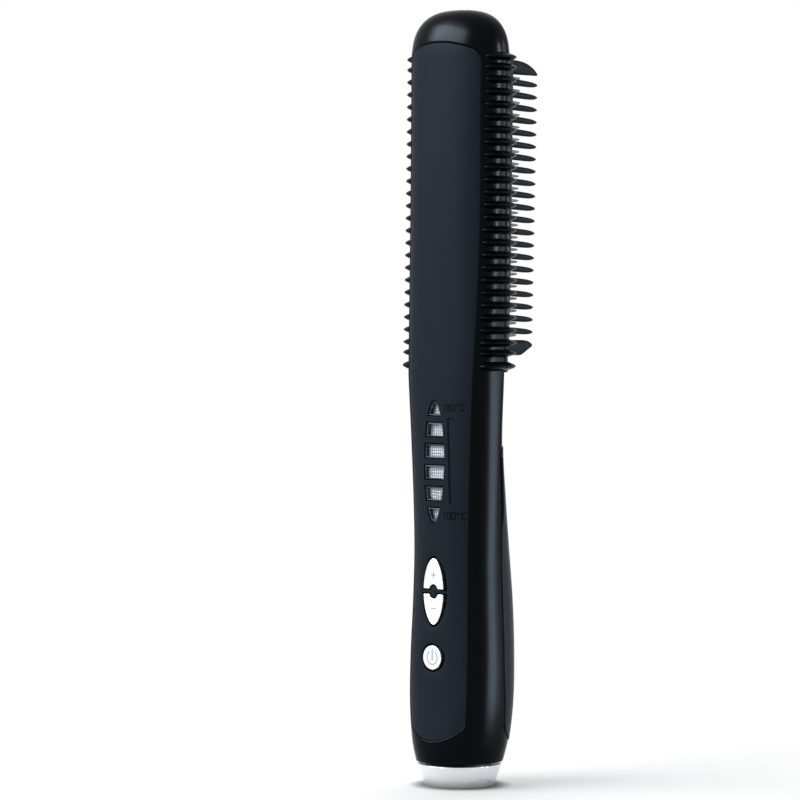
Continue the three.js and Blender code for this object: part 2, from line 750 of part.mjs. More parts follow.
function tempButtonOutline(direction, grow) {
  const half = TEMP_LENGTH / 2;
  const split = TEMP_SPLIT / 2 - grow;
  const notch = TEMP_NOTCH_RADIUS - grow;
  const right = [];
  const notchEnd = Math.asin(Math.min(1, split / notch));
  for (let i = 0; i <= 3; i++) {
    const turn = notchEnd + (Math.PI / 2 - notchEnd) * (1 - i / 3);
    right.push([notch * Math.cos(turn), notch * Math.sin(turn)]);
  }
  const tip = half + grow;
  for (let i = 0; i <= 6; i++) {
    const z = split + ((tip - split) * i) / 6;
    const wide = ovalHalf(z, tip + 0.1, TEMP_WIDTH / 2 + grow);
    right.push([wide, z]);
  }
  const left = right
    .filter(([x]) => x > 1e-6)
    .map(([x, z]) => [-x, z])
    .reverse();
  return [...right, ...left].map(([x, z]) => [x, tempCentre + direction * z]);
}

function powerOutline(grow) {
  const points = [];
  for (let i = 0; i < ROUND_SEGMENTS; i++) {
    const turn = (2 * Math.PI * i) / ROUND_SEGMENTS;
    const radius = POWER_RADIUS + grow;
    points.push([radius * Math.cos(turn), powerCentre + radius * Math.sin(turn)]);
  }
  return points;
}

const buttons = [
  { name: "power", outline: powerOutline, stem: powerCentre, middle: powerCentre },
  {
    name: "temp_up",
    outline: (grow) => tempButtonOutline(1, grow),
    stem: tempCentre + STEM_FROM_CENTRE,
    middle: tempCentre,
  },
  {
    name: "temp_down",
    outline: (grow) => tempButtonOutline(-1, grow),
    stem: tempCentre - STEM_FROM_CENTRE,
    middle: tempCentre,
  },
];

// Depths of a button, from its face to the end of its stem
const switchFront = BOARD_FRONT - CLEARANCE - SWITCH_HEIGHT;
const plungerFront = switchFront - PLUNGER_LENGTH / 2;
const floorInner = (z) => -(front(z) - WALL);

function flangeFront(outline) {
  const depths = outline(FLANGE_WIDTH).map(([x, z]) => -frontDepth(z, x, -WALL));
  return Math.max(...depths) + CLEARANCE;
}

function button({ outline, stem, middle }) {
  const face = -(front(middle) - PANEL_RECESS + BUTTON_PROUD);
  const flange = flangeFront(outline);
  return joined([
    prismY(outline(-0.45), face, face + 0.5),
    prismY(outline(0), face + 0.45, flange + 0.1),
    prismY(outline(FLANGE_WIDTH), flange, flange + FLANGE_THICKNESS),
    rodY(0, stem, STEM_RADIUS, flange, plungerFront - CLEARANCE),
  ]);
}

// Screw that is driven towards -Y (direction -1) or +Y (direction 1), with its head's seat at depth seat
function screw(x, z, seat, length, direction) {
  const shank = direction < 0 ? [seat - length, seat + 0.2] : [seat - 0.2, seat + length];
  const head = direction < 0 ? [seat, seat + SCREW_HEAD_HEIGHT] : [seat - SCREW_HEAD_HEIGHT, seat];
  return rodY(x, z, SCREW_HEAD_RADIUS, head[0], head[1]).add(rodY(x, z, SCREW_RADIUS, shank[0], shank[1]));
}

const screwHole = SCREW_RADIUS + CLEARANCE;

const boardBack = BOARD_FRONT + BOARD_THICKNESS;
const boardPosts = [-1, 1].flatMap((direction) =>
  [boardBottom + BOARD_POST_END, boardTop - BOARD_POST_END].map((z) => [direction * BOARD_POST_SIDE, z]),
);
const clampPosts = [-1, 1].map((direction) => [direction * CORD_CLAMP_POST_SIDE, clampHeight]);
// Posts on the floor of the front shell, each with a hole for a screw
const posts = [
  ...boardPosts.map(([x, z]) => ({ x, z, top: BOARD_FRONT - CLEARANCE, radius: POST_RADIUS })),
  ...clampPosts.map(([x, z]) => ({ x, z, top: CORD_CLAMP_DEPTH, radius: POST_RADIUS })),
  { x: 0, z: caseScrewHeight, top: CASE_POST_TOP, radius: POST_RADIUS },
  { x: 0, z: neckScrewHeight, top: NECK_BACK - WALL - CLEARANCE, radius: POST_RADIUS },
];
const SCREW_GRIP = 5;

const outer = bodySolid(0, handleFoot, BODY_SEGMENTS);
const cavity = bodySolid(-WALL, 5, INNER_SEGMENTS);
const ribbed = joined([outer, ...[-1, 1].flatMap((direction) => ribs.map((r) => rib(r, direction)))]);
const windows = [...Array(WINDOW_COUNT).keys()];
const pocketFloor = PANEL_RECESS + PANEL_THICKNESS + CLEARANCE;

// Front shell: sides, dome front, collar and the floor that the panel lies on
function frontShell() {
  const coverSpace = prismX(coverOutline(PARTING_GAP), FAR);
  const lowBack = box(-FAR, FAR, -FAR, FAR, 0, (coverBottom + neckFoot) / 2);
  const behind = behindParting(-PARTING_GAP / 2).subtract(lowBack).add(coverSpace);
  const pocket = prismY(panelOutline(CLEARANCE), -FAR, 0).subtract(
    bodySolid(-pocketFloor, 5, BODY_SEGMENTS),
  );
  let shell = ribbed.subtract(behind).subtract(cavity).subtract(pocket);
  const rods = joined(posts.map(({ x, z, top, radius }) => rodY(x, z, radius, -FAR, top)));
  shell = shell.add(rods.intersect(bodySolid(-pocketFloor - 0.2, 5, INNER_SEGMENTS)));
  for (const { x, z, top } of posts) {
    shell = shell.subtract(rodY(x, z, screwHole, top - SCREW_GRIP - 1, top + 1));
  }
  for (const b of buttons) {
    shell = shell.subtract(prismY(b.outline(BUTTON_CLEARANCE), -FAR, floorInner(b.middle) + 2));
  }
  for (const i of windows) {
    shell = shell.subtract(prismY(windowOutline(i, CLEARANCE), -FAR, floorInner(windowMiddle(i)) + 2));
  }
  return shell;
}

// Height of the middle of a window
function windowMiddle(index) {
  return windowCentre - displayHalf + index * WINDOW_PITCH + (WINDOW_PITCH - WINDOW_GAP) / 2;
}

// Front panel: a thin curved skin with the cut-outs of the display and the buttons
function frontPanel() {
  const skin = bodySolid(-PANEL_RECESS, handleFoot, BODY_SEGMENTS).subtract(
    bodySolid(-PANEL_RECESS - PANEL_THICKNESS, 5, BODY_SEGMENTS),
  );
  let panel = skin.intersect(prismY(panelOutline(0), -FAR, -1));
  for (const i of windows) panel = panel.subtract(prismY(windowOutline(i, CLEARANCE), -FAR, 0));
  for (const b of buttons) panel = panel.subtract(prismY(b.outline(BUTTON_CLEARANCE), -FAR, 0));
  return panel;
}

// Window of the display: a tray that fills a hole through the shell's floor, below the panel's face
function displayWindow(index) {
  const back = floorInner(windowMiddle(index));
  const face = back - WALL + WINDOW_RECESS;
  const tray = prismY(windowOutline(index, 0), face, back);
  return tray.subtract(prismY(windowOutline(index, -WINDOW_WALL), face - 1, back - WINDOW_WALL));
}

// Comb frame: back of the head with the raised rim, the rear halves of the ribs and the neck
function combFrame() {
  const rimLow = lowestTooth - 4 - CLEARANCE - RIM_END;
  const rimHigh = highestTooth + 4 + CLEARANCE + RIM_END;
  const rim = frameBlock(0, rimLow, rimHigh, 3, 0);
  const opening = frameBlock(RIM_WALL, rimLow + RIM_END, rimHigh - RIM_END, -FAR, FAR);
  const lugPocket = box(
    -PLATE_LUG_WIDTH / 2 - CLEARANCE,
    PLATE_LUG_WIDTH / 2 + CLEARANCE,
    -FAR,
    plateTop + CLEARANCE,
    plateLow - PLATE_LUG_LENGTH - CLEARANCE,
    plateHigh + PLATE_LUG_LENGTH + CLEARANCE,
  );
  const below = box(-FAR, FAR, -FAR, FAR, 0, (coverBottom + neckFoot) / 2);
  const seat = NECK_BACK - SCREW_HEAD_HEIGHT - 0.6;
  return ribbed
    .subtract(cavity)
    .add(rim)
    .intersect(behindParting(PARTING_GAP / 2))
    .subtract(below)
    .subtract(prismX(coverOutline(PARTING_GAP), FAR))
    .subtract(opening)
    .subtract(lugPocket)
    .subtract(joined(lugScrews.map((z) => rodY(0, z, screwHole, 0, plateTop + PLATE_SCREW_GRIP + CLEARANCE))))
    .subtract(rodY(0, neckScrewHeight, screwHole, 0, FAR))
    .subtract(rodY(0, neckScrewHeight, SCREW_HEAD_RADIUS + 0.4, seat - CLEARANCE, FAR, ROUND_SEGMENTS));
}

// Shallow slot along the upper part of the cover's edge, which fades out downwards
function coverSlot() {
  const top = neckFoot;
  const edge = (z) => along(partingStations, "depth", z);
  const points = [
    [edge(top - SLOT_LENGTH), top - SLOT_LENGTH],
    [edge(top - 0.8 * SLOT_LENGTH) + SLOT_WIDTH, top - 0.8 * SLOT_LENGTH],
    [edge(top - COVER_TOP_CORNER) + SLOT_WIDTH, top - COVER_TOP_CORNER],
    [edge(top - COVER_TOP_CORNER) - 1, top - COVER_TOP_CORNER],
    [edge(top - SLOT_LENGTH) - 1, top - SLOT_LENGTH],
  ];
  return prismX(points, FAR).subtract(bodySolid(COVER_PROUD - SLOT_DEPTH, 5, BODY_SEGMENTS));
}

// Rear grip cover with the boss of its screw and the lip that hooks under the neck
function rearCover() {
  const skin = bodySolid(COVER_PROUD, handleFoot, BODY_SEGMENTS).subtract(cavity);
  const bossLow = CASE_POST_TOP + CLEARANCE;
  const boss = rodY(0, caseScrewHeight, CASE_BOSS_RADIUS, bossLow, PALM_BACK - 1, ROUND_SEGMENTS);
  const lipTop = neckFoot - 0.3 + COVER_LIP_LENGTH;
  const lipBack = along(bodyStations, "back", lipTop) - WALL - CLEARANCE;
  const lip = prismX(
    [
      [lipBack - 1.4, neckFoot - 6],
      [lipBack + 2.4, neckFoot - 6],
      [lipBack + 1.4, neckFoot - 3],
      [lipBack, neckFoot - 2],
      [lipBack, lipTop],
      [lipBack - 1.4, lipTop],
    ],
    COVER_LIP_WIDTH / 2,
  );
  const headSeat = CASE_POST_TOP + CLEARANCE + 2.6;
  return skin
    .intersect(prismX(coverOutline(0), FAR))
    .subtract(coverSlot())
    .add(boss)
    .add(lip)
    .subtract(rodY(0, caseScrewHeight, screwHole, 0, FAR))
    .subtract(rodY(0, caseScrewHeight, SCREW_HEAD_RADIUS + 0.4, headSeat, FAR, ROUND_SEGMENTS));
}

// End cap: tapered ring with a flat underside, a sleeve that enters the collar and a hole for the gland
function endCap() {
  const sleeve = CAP_TOP_RADIUS - WALL - CLEARANCE;
  const recess = GLAND_FLANGE_RADIUS + CLEARANCE;
  const recessHeight = GLAND_FLANGE_THICKNESS + 0.6;
  const hole = GLAND_RADIUS + CLEARANCE;
  return turned(
    [
      [recess, 0],
      [CAP_BOTTOM_RADIUS - CAP_EDGE, 0],
      [CAP_BOTTOM_RADIUS - 0.3 * CAP_EDGE, 0.3 * CAP_EDGE],
      [CAP_BOTTOM_RADIUS, CAP_EDGE],
      [(CAP_BOTTOM_RADIUS + CAP_TOP_RADIUS) / 2 + 0.15, (CAP_EDGE + CAP_HEIGHT) / 2],
      [CAP_TOP_RADIUS, CAP_HEIGHT],
      [sleeve, CAP_HEIGHT],
      [sleeve, CAP_HEIGHT + CAP_SLEEVE_HEIGHT],
      [sleeve - CAP_SLEEVE_WALL, CAP_HEIGHT + CAP_SLEEVE_HEIGHT],
      [sleeve - CAP_SLEEVE_WALL, recessHeight + CAP_WALL],
      [hole, recessHeight + CAP_WALL],
      [hole, recessHeight],
      [recess, recessHeight],
      [recess, 0],
    ],
    BODY_SEGMENTS,
  );
}

// Cord gland: a rubber bush that clips into the end cap
function cordGland() {
  const low = 0.6;
  const groove = low + GLAND_FLANGE_THICKNESS - CLEARANCE;
  const upper = GLAND_FLANGE_THICKNESS + 0.6 + CAP_WALL + CLEARANCE;
  return turned(
    [
      [GLAND_BORE_RADIUS, low],
      [GLAND_FLANGE_RADIUS, low],
      [GLAND_FLANGE_RADIUS, groove],
      [GLAND_RADIUS, groove],
      [GLAND_RADIUS, upper],
      [GLAND_FLANGE_RADIUS, upper],
      [GLAND_FLANGE_RADIUS, upper + GLAND_FLANGE_THICKNESS],
      [GLAND_NOZZLE_RADIUS, upper + GLAND_FLANGE_THICKNESS],
      [GLAND_NOZZLE_RADIUS - 0.6, GLAND_HEIGHT],
      [GLAND_BORE_RADIUS, GLAND_HEIGHT],
      [GLAND_BORE_RADIUS, low],
    ],
    ROUND_SEGMENTS,
  );
}

function cordClamp() {
  const low = CORD_CLAMP_DEPTH + CLEARANCE;
  const half = CORD_CLAMP_POST_SIDE + POST_RADIUS + 0.4;
  let bar = box(-half, half, low, low + 2.4, clampHeight - 3, clampHeight + 3);
  bar = bar.subtract(rodZ(0, low - 1.2, 2.6, clampHeight - 4, clampHeight + 4));
  for (const [x, z] of clampPosts) bar = bar.subtract(rodY(x, z, screwHole, 0, FAR));
  return bar;
}

function controlBoard() {
  let board = box(-BOARD_WIDTH / 2, BOARD_WIDTH / 2, BOARD_FRONT, boardBack, boardBottom, boardTop);
  for (const [x, z] of boardPosts) board = board.subtract(rodY(x, z, screwHole, -FAR, FAR));
  return board.subtract(rodY(0, caseScrewHeight, POST_RADIUS + CLEARANCE, -FAR, FAR));
}

function tactSwitch(z) {
  const half = SWITCH_SIZE / 2;
  const body = box(-half, half, switchFront, BOARD_FRONT - CLEARANCE, z - half, z + half);
  const well = switchFront + PLUNGER_LENGTH + 0.4;
  return body.subtract(rodY(0, z, PLUNGER_RADIUS + CLEARANCE, switchFront - 1, well));
}

function plunger(z) {
  return rodY(0, z, PLUNGER_RADIUS, plungerFront, plungerFront + PLUNGER_LENGTH);
}

function lightBaffle() {
  const low = windowMiddle(0) - WINDOW_PITCH / 2;
  const high = windowMiddle(WINDOW_COUNT - 1) + WINDOW_PITCH / 2;
  const face = floorInner(high) + CLEARANCE + 0.1;
  let baffle = box(-BAFFLE_WIDTH / 2, BAFFLE_WIDTH / 2, face, BOARD_FRONT - CLEARANCE, low, high);
  for (const i of windows) {
    const z = windowMiddle(i);
    const half = BAFFLE_WIDTH / 2 - BAFFLE_WALL;
    const reach = (WINDOW_PITCH - BAFFLE_WALL) / 2;
    baffle = baffle.subtract(box(-half, half, -FAR, 0, z - reach, z + reach));
  }
  return baffle;
}

function led(z) {
  const half = LED_SIZE / 2;
  const back = BOARD_FRONT - CLEARANCE;
  const lens = new THREE.SphereGeometry(1, 8, 6);
  lens.translate(0, back - LED_HEIGHT, z);
  return box(-half, half, back - LED_HEIGHT, back, z - half, z + half).add(solid(lens));
}

// Heater pack: strip, insulating sheet and clamp, stacked behind the plate
const headMiddle = (lowestTooth + highestTooth) / 2;
const heaterBack = PLATE_UNDERSIDE - CLEARANCE;
const sheetBack = heaterBack - HEATER_THICKNESS - CLEARANCE;
const clampBack = sheetBack - SHEET_THICKNESS - CLEARANCE;
const clampScrewReach = (HEATER_LENGTH + HEATER_CLAMP_END) / 2;
const clampScrews = [headMiddle - clampScrewReach, headMiddle + clampScrewReach];
const lugScrews = [
  plateLow - PLATE_LUG_LENGTH + PLATE_SCREW_EDGE,
  plateHigh + PLATE_LUG_LENGTH - PLATE_SCREW_EDGE,
];

function strip(width, length, back, thickness) {
  return box(
    -width / 2,
    width / 2,
    back - thickness,
    back,
    headMiddle - length / 2,
    headMiddle + length / 2,
  );
}

function heaterClamp() {
  const length = HEATER_LENGTH + 2 * HEATER_CLAMP_END;
  let clamp = strip(HEATER_CLAMP_WIDTH, length, clampBack, HEATER_CLAMP_THICKNESS);
  for (const z of clampScrews) clamp = clamp.subtract(rodY(0, z, screwHole, -FAR, FAR));
  return clamp;
}

// Insulated lead that is held all the way from the heater pack to the board
function lead(points) {
  const path = new THREE.CatmullRomCurve3(points.map(([x, y, z]) => new THREE.Vector3(x, y, z)));
  const ring = new THREE.Shape();
  ring.absarc(0, 0, LEAD_RADIUS, 0, 2 * Math.PI);
  const geometry = new THREE.ExtrudeGeometry(ring, { steps: 14, curveSegments: 3, extrudePath: path });
  return solid(geometry);
}

// Finishes
const finish = (color, roughness, metalness) =>
  new THREE.MeshStandardMaterial({ color, roughness, metalness });
const glossBlack = finish(0x0b0d10, 0.18, 0);
const matteBlack = finish(0x1a1e24, 0.55, 0);
const gripBlack = finish(0x15181d, 0.4, 0);
const guardSlate = finish(0x252c34, 0.38, 0);
const heatedSlate = finish(0x3a4148, 0.35, 0.4);
const satinSilver = finish(0xd4d6da, 0.3, 0.9);
const buttonSilver = finish(0xc9cbd0, 0.32, 0.8);
const windowGrey = finish(0x9aa0a8, 0.35, 0.1);
const boardGreen = finish(0x1d4a34, 0.6, 0);
const switchBlack = finish(0x1c1c1e, 0.5, 0);
const ceramicWhite = finish(0xe6e2d8, 0.7, 0);
const steel = finish(0x8e9196, 0.35, 1);
const sheetMica = finish(0xb9a779, 0.6, 0);
const leadRed = finish(0x8c2a22, 0.5, 0);
const rubberBlack = finish(0x101113, 0.8, 0);
const ledWhite = finish(0xe9edf2, 0.3, 0);

const comb = new THREE.Group();

function add(name, made, material) {
  const shape = made.getMesh();
  const geometry = new THREE.BufferGeometry();
  geometry.setAttribute("position", new THREE.BufferAttribute(shape.vertProperties, 3));
  geometry.setIndex(new THREE.BufferAttribute(shape.triVerts, 1));
  const mesh = new THREE.Mesh(geometry, material);
  mesh.name = name;
  comb.add(mesh);
}

// Housing
add("front_shell", frontShell(), glossBlack);
add("front_panel", frontPanel(), matteBlack);
add("comb_frame", combFrame(), glossBlack);
add("rear_cover", rearCover(), gripBlack);
add("end_cap", endCap(), satinSilver);
add("cord_gland", cordGland(), rubberBlack);
add("cord_clamp", cordClamp(), switchBlack);

// Comb
add("guard_comb_right", guardComb(1), guardSlate);
add("guard_comb_left", guardComb(-1), guardSlate);
add("heat_plate", heatPlate(), heatedSlate);

// Heater pack
add("heater_strip", strip(HEATER_WIDTH, HEATER_LENGTH, heaterBack, HEATER_THICKNESS), ceramicWhite);
add("insulation_sheet", strip(HEATER_WIDTH + 1, HEATER_LENGTH, sheetBack, SHEET_THICKNESS), sheetMica);
add("heater_clamp", heaterClamp(), steel);
add(
  "thermal_fuse",
  rodZ(-SENSOR_FROM_MIDDLE, heaterBack - FUSE_RADIUS, FUSE_RADIUS, headMiddle, headMiddle + FUSE_LENGTH),
  steel,
);
add(
  "temperature_sensor",
  rodZ(SENSOR_FROM_MIDDLE, heaterBack - SENSOR_RADIUS, SENSOR_RADIUS, headMiddle, headMiddle + SENSOR_LENGTH),
  ceramicWhite,
);

// Display
for (const i of windows) {
  const number = i + 1;
  add(`display_window_${number}`, displayWindow(i), windowGrey);
  add(`led_${number}`, led(windowMiddle(i)), ledWhite);
}
add("light_baffle", lightBaffle(), switchBlack);

// Board and buttons
add("control_board", controlBoard(), boardGreen);
for (const b of buttons) {
  add(`button_${b.name}`, button(b), buttonSilver);
  add(`switch_${b.name}`, tactSwitch(b.stem), switchBlack);
  add(`plunger_${b.name}`, plunger(b.stem), switchBlack);
}
const onBoard = boardBack + CLEARANCE;
// Block on the back of the board, from height low
function component(width, length, height, low) {
  return box(-width / 2, width / 2, onBoard, onBoard + height, low, low + length);
}
const controllerLow = tempCentre - CONTROLLER_SIZE / 2;
const capacitorLow = controllerLow + CONTROLLER_SIZE + COMPONENT_SPACING;
const triacLow = boardTop - TRIAC_BELOW_BOARD_TOP - TRIAC_LENGTH;
add("power_switch_triac", component(TRIAC_WIDTH, TRIAC_LENGTH, TRIAC_HEIGHT, triacLow), switchBlack);
add(
  "mains_capacitor",
  component(CAPACITOR_WIDTH, CAPACITOR_LENGTH, CAPACITOR_HEIGHT, capacitorLow),
  ceramicWhite,
);
add(
  "microcontroller",
  component(CONTROLLER_SIZE, CONTROLLER_SIZE, CONTROLLER_HEIGHT, controllerLow),
  switchBlack,
);

// Leads from the heater strip to the board
for (const direction of [-1, 1]) {
  const x = (direction * LEAD_SPACING) / 2;
  const xEnd = (direction * LEAD_END_SPACING) / 2;
  const heaterEnd = headMiddle - HEATER_LENGTH / 2 - CLEARANCE;
  const y = heaterBack - HEATER_THICKNESS / 2;
  add(
    direction < 0 ? "heater_lead_left" : "heater_lead_right",
    lead([
      [xEnd, y, heaterEnd],
      [xEnd, y, heaterEnd - LEAD_STRAIGHT],
      [x, y - 1.5, heaterEnd - LEAD_SWEEP],
      [x, onBoard + LEAD_RADIUS + 0.5, boardTop - 2],
      [x, onBoard + LEAD_RADIUS, boardTop - LEAD_LANDING],
    ]),
    leadRed,
  );
}

// Screws
boardPosts.forEach(([x, z], i) => {
  add(`board_screw_${i + 1}`, screw(x, z, boardBack + CLEARANCE, BOARD_THICKNESS + SCREW_GRIP, -1), steel);
});
clampPosts.forEach(([x, z], i) => {
  const seat = CORD_CLAMP_DEPTH + 2.4 + 2 * CLEARANCE;
  add(`cord_clamp_screw_${i + 1}`, screw(x, z, seat, 2.4 + SCREW_GRIP, -1), steel);
});
clampScrews.forEach((z, i) => {
  const seat = clampBack - HEATER_CLAMP_THICKNESS - CLEARANCE;
  add(`heater_clamp_screw_${i + 1}`, screw(0, z, seat, plateTop - 0.7 - seat, 1), steel);
});
lugScrews.forEach((z, i) => {
  const seat = PLATE_UNDERSIDE - CLEARANCE;
  add(`plate_screw_${i + 1}`, screw(0, z, seat, plateTop + PLATE_SCREW_GRIP - seat, 1), steel);
});
const caseSeat = CASE_POST_TOP + 2 * CLEARANCE + 2.6;
const neckSeat = NECK_BACK - SCREW_HEAD_HEIGHT - 0.6;
add("case_screw", screw(0, caseScrewHeight, caseSeat, 2.6 + SCREW_GRIP, -1), steel);
add("neck_screw", screw(0, neckScrewHeight, neckSeat, 1.2 + SCREW_GRIP, -1), steel);

// The origin lies at the middle of the footprint
const reach = new THREE.Box3().setFromObject(comb);
comb.position.y = -(reach.min.y + reach.max.y) / 2;
comb.updateMatrixWorld(true);

export default comb;
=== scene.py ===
import math

import bpy
import numpy as np
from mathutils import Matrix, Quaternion, Vector
from mathutils.geometry import delaunay_2d_cdt


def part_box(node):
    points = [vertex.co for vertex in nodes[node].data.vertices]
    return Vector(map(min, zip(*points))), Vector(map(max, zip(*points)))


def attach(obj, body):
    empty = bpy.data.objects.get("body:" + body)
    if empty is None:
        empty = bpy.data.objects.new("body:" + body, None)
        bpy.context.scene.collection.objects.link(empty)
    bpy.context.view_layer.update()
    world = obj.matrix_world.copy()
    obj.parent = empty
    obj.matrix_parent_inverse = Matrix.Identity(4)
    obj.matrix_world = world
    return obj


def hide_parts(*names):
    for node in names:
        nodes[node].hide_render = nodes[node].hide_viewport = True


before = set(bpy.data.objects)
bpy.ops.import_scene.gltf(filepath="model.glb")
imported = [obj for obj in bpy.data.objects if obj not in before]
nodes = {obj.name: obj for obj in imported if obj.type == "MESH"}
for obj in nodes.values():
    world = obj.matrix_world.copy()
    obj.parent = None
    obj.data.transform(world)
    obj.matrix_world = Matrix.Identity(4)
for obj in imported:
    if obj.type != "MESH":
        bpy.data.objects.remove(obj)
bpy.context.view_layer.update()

MM = 0.001
cap_low, cap_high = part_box("end_cap")
AXIS_DEPTH = (cap_low.y + cap_high.y) / 2 / MM

# Heights along the comb
CAP_HEIGHT = 8.2
BODY_FOOT = 8.5
COVER_FOOT = 15.6
NECK_FOOT = 128.8
HEAD_FOOT = 155.8
LOWEST_TOOTH = 165.65
TOOTH_PITCH = 4.655
TOOTH_COUNT = 23
HIGHEST_TOOTH = LOWEST_TOOTH + (TOOTH_COUNT - 1) * TOOTH_PITCH
DOME_FOOT = HIGHEST_TOOTH + 1.42
DOME_HEIGHT = 20.5
CROWN = DOME_FOOT + DOME_HEIGHT
HANDLE = NECK_FOOT - BODY_FOOT
HEAD_MIDDLE = (HEAD_FOOT + DOME_FOOT) / 2

# The dome is a squarish arc of this power, and the skins travel this far over it
DOME_POWER = 2.75
DOME_ARC = 27.0

# Gaps, walls and rounded edges
PARTING_GAP = 0.3
PANEL_RECESS = 0.25
PANEL_GAP = 0.12
WALL = 1.6
EDGE_ROWS = 3

# Stations of the body: height, half width, depth to the front, depth to the back, squareness
BODY = np.array([
    (BODY_FOOT, 15.75, 15.75, 15.75, 2.15),
    (BODY_FOOT + 0.065 * HANDLE, 17.4, 16.4, 17.2, 2.3),
    (BODY_FOOT + 0.19 * HANDLE, 18.75, 16.2, 18.6, 2.4),
    (BODY_FOOT + 0.345 * HANDLE, 18.9, 15.7, 19.3, 2.35),
    (BODY_FOOT + 0.5 * HANDLE, 18.2, 15.2, 19.3, 2.27),
    (BODY_FOOT + 0.655 * HANDLE, 17.8, 15.0, 17.2, 2.22),
    (BODY_FOOT + 0.81 * HANDLE, 18.2, 15.2, 13.6, 2.22),
    (NECK_FOOT, 19.1, 14.9, 7.6, 2.45),
    (HEAD_FOOT - 3, 20.2, 14.9, 6.4, 2.7),
    (HEAD_FOOT, 20.3, 14.8, 6.4, 2.7),
    (HEAD_MIDDLE, 21.0, 14.2, 6.4, 2.32),
    (DOME_FOOT, 21.4, 13.5, 6.4, 2.2),
])
# Depth to the back of the head, and depth of the joint between the front and back pieces
HEAD_BACK = np.array([(HEAD_FOOT, 10.2), (HEAD_MIDDLE, 11.0), (DOME_FOOT, 11.5)])
PARTING = np.array([
    (0.0, 5.5), (BODY_FOOT + 0.14 * HANDLE, 5.0), (BODY_FOOT + 0.28 * HANDLE, 3.8),
    (BODY_FOOT + 0.53 * HANDLE, 3.6), (BODY_FOOT + 0.76 * HANDLE, 3.4), (BODY_FOOT + 0.87 * HANDLE, 2.4),
    (NECK_FOOT, 0.9), (HEAD_FOOT, 1.8), (DOME_FOOT, 2.4), (CROWN + 5, 2.4),
])
# Width of the front panel as a share of the body's
PANEL = np.array([
    (0, 0.745), (60, 0.745), (108, 0.752), (130, 0.768), (149, 0.784), (175, 0.811), (205, 0.826),
    (246, 0.814), (300, 0.8),
])


def station_curve(table, column=1):
    """Smooth curve through one column of stations, as a function of height."""
    heights, values = table[:, 0], table[:, column]
    last = len(heights) - 1
    before = np.maximum(np.arange(last + 1) - 1, 0)
    after = np.minimum(np.arange(last + 1) + 1, last)
    slopes = (values[after] - values[before]) / (heights[after] - heights[before])

    def read(z):
        z = np.clip(np.asarray(z, float), heights[0], heights[-1])
        i = np.clip(np.searchsorted(heights, z, side="right") - 1, 0, last - 1)
        span = heights[i + 1] - heights[i]
        t = (z - heights[i]) / span
        return (
            (2 * t**3 - 3 * t**2 + 1) * values[i]
            + (t**3 - 2 * t**2 + t) * span * slopes[i]
            + (3 * t**2 - 2 * t**3) * values[i + 1]
            + (t**3 - t**2) * span * slopes[i + 1]
        )

    return read


half_width, front_depth, back_depth, squareness = (station_curve(BODY, k) for k in (1, 2, 3, 4))
head_back = station_curve(HEAD_BACK)
parting_depth = station_curve(PARTING)
panel_share = station_curve(PANEL)


def stacked(*parts):
    """Points from their coordinates, of which some may be single numbers."""
    return np.stack(np.broadcast_arrays(*parts), -1)


def unit(vectors):
    return vectors / np.maximum(np.linalg.norm(vectors, axis=-1, keepdims=True), 1e-9)


def around(degrees):
    """Cosine and sine of an angle in degrees."""
    return math.cos(math.radians(degrees)), math.sin(math.radians(degrees))


def full_turn(count):
    return np.linspace(0, 2 * math.pi, count + 1)[:-1]


# Surface of the body
def radii(z, grow, head):
    """Half width, front depth, back depth and squareness at height z, with the surface moved out."""
    foot = np.minimum(z, DOME_FOOT)
    back = head_back(foot) if head else back_depth(foot)
    return half_width(foot) + grow, front_depth(foot) + grow, back + grow, squareness(foot)


def dome_turn(v):
    """Height and shrinkage of the body at travel v, which is the height up to the foot of the dome."""
    turn = np.clip((np.asarray(v, float) - DOME_FOOT) / DOME_ARC, 0, 1) * math.pi / 2
    climb = np.sin(turn) ** (2 / DOME_POWER)
    shrink = np.maximum(np.cos(turn), 0) ** (2 / DOME_POWER)
    return climb, np.where(np.asarray(v) >= DOME_FOOT + DOME_ARC - 1e-9, 0.0, shrink)


def travel_at(z):
    """Travel at which the body's surface reaches height z."""
    climb = np.clip((np.asarray(z, float) - DOME_FOOT) / DOME_HEIGHT, 0, 1)
    turn = np.arcsin(climb ** (DOME_POWER / 2))
    return np.where(np.asarray(z) <= DOME_FOOT, z, DOME_FOOT + turn / (math.pi / 2) * DOME_ARC)


def body_point(degrees, v, grow=0.0, head=False):
    """Points of the body's surface. Angle 0 is the right side, 90 the back and -90 the front."""
    v = np.asarray(v, float)
    climb, shrink = dome_turn(v)
    z = np.minimum(v, DOME_FOOT) + (DOME_HEIGHT + grow) * climb
    a, f, b, n = radii(z, grow, head)
    angle = np.radians(degrees)
    c, s = np.cos(angle), np.sin(angle)
    x = np.sign(c) * a * np.abs(c) ** (2 / n) * shrink
    y = np.sign(s) * np.where(s > 0, b, f) * np.abs(s) ** (2 / n) * shrink
    return stacked(x, y, z)


def body_value(p, grow, head):
    """1 on the body's surface, less inside it and more outside."""
    z = p[..., 2]
    a, f, b, n = radii(z, grow, head)
    climb = np.maximum(0, z - DOME_FOOT) / (DOME_HEIGHT + grow)
    depth = np.where(p[..., 1] > 0, b, f)
    spread = (np.abs(p[..., 0]) / a) ** n + (np.abs(p[..., 1]) / depth) ** n
    return spread ** (DOME_POWER / n) + climb**DOME_POWER


def body_normal(p, grow=0.0, head=False):
    """Outward direction of the body's surface at points that lie on it."""
    steps = 0.02 * np.eye(3)
    return unit(stacked(*[body_value(p + s, grow, head) - body_value(p - s, grow, head) for s in steps]))


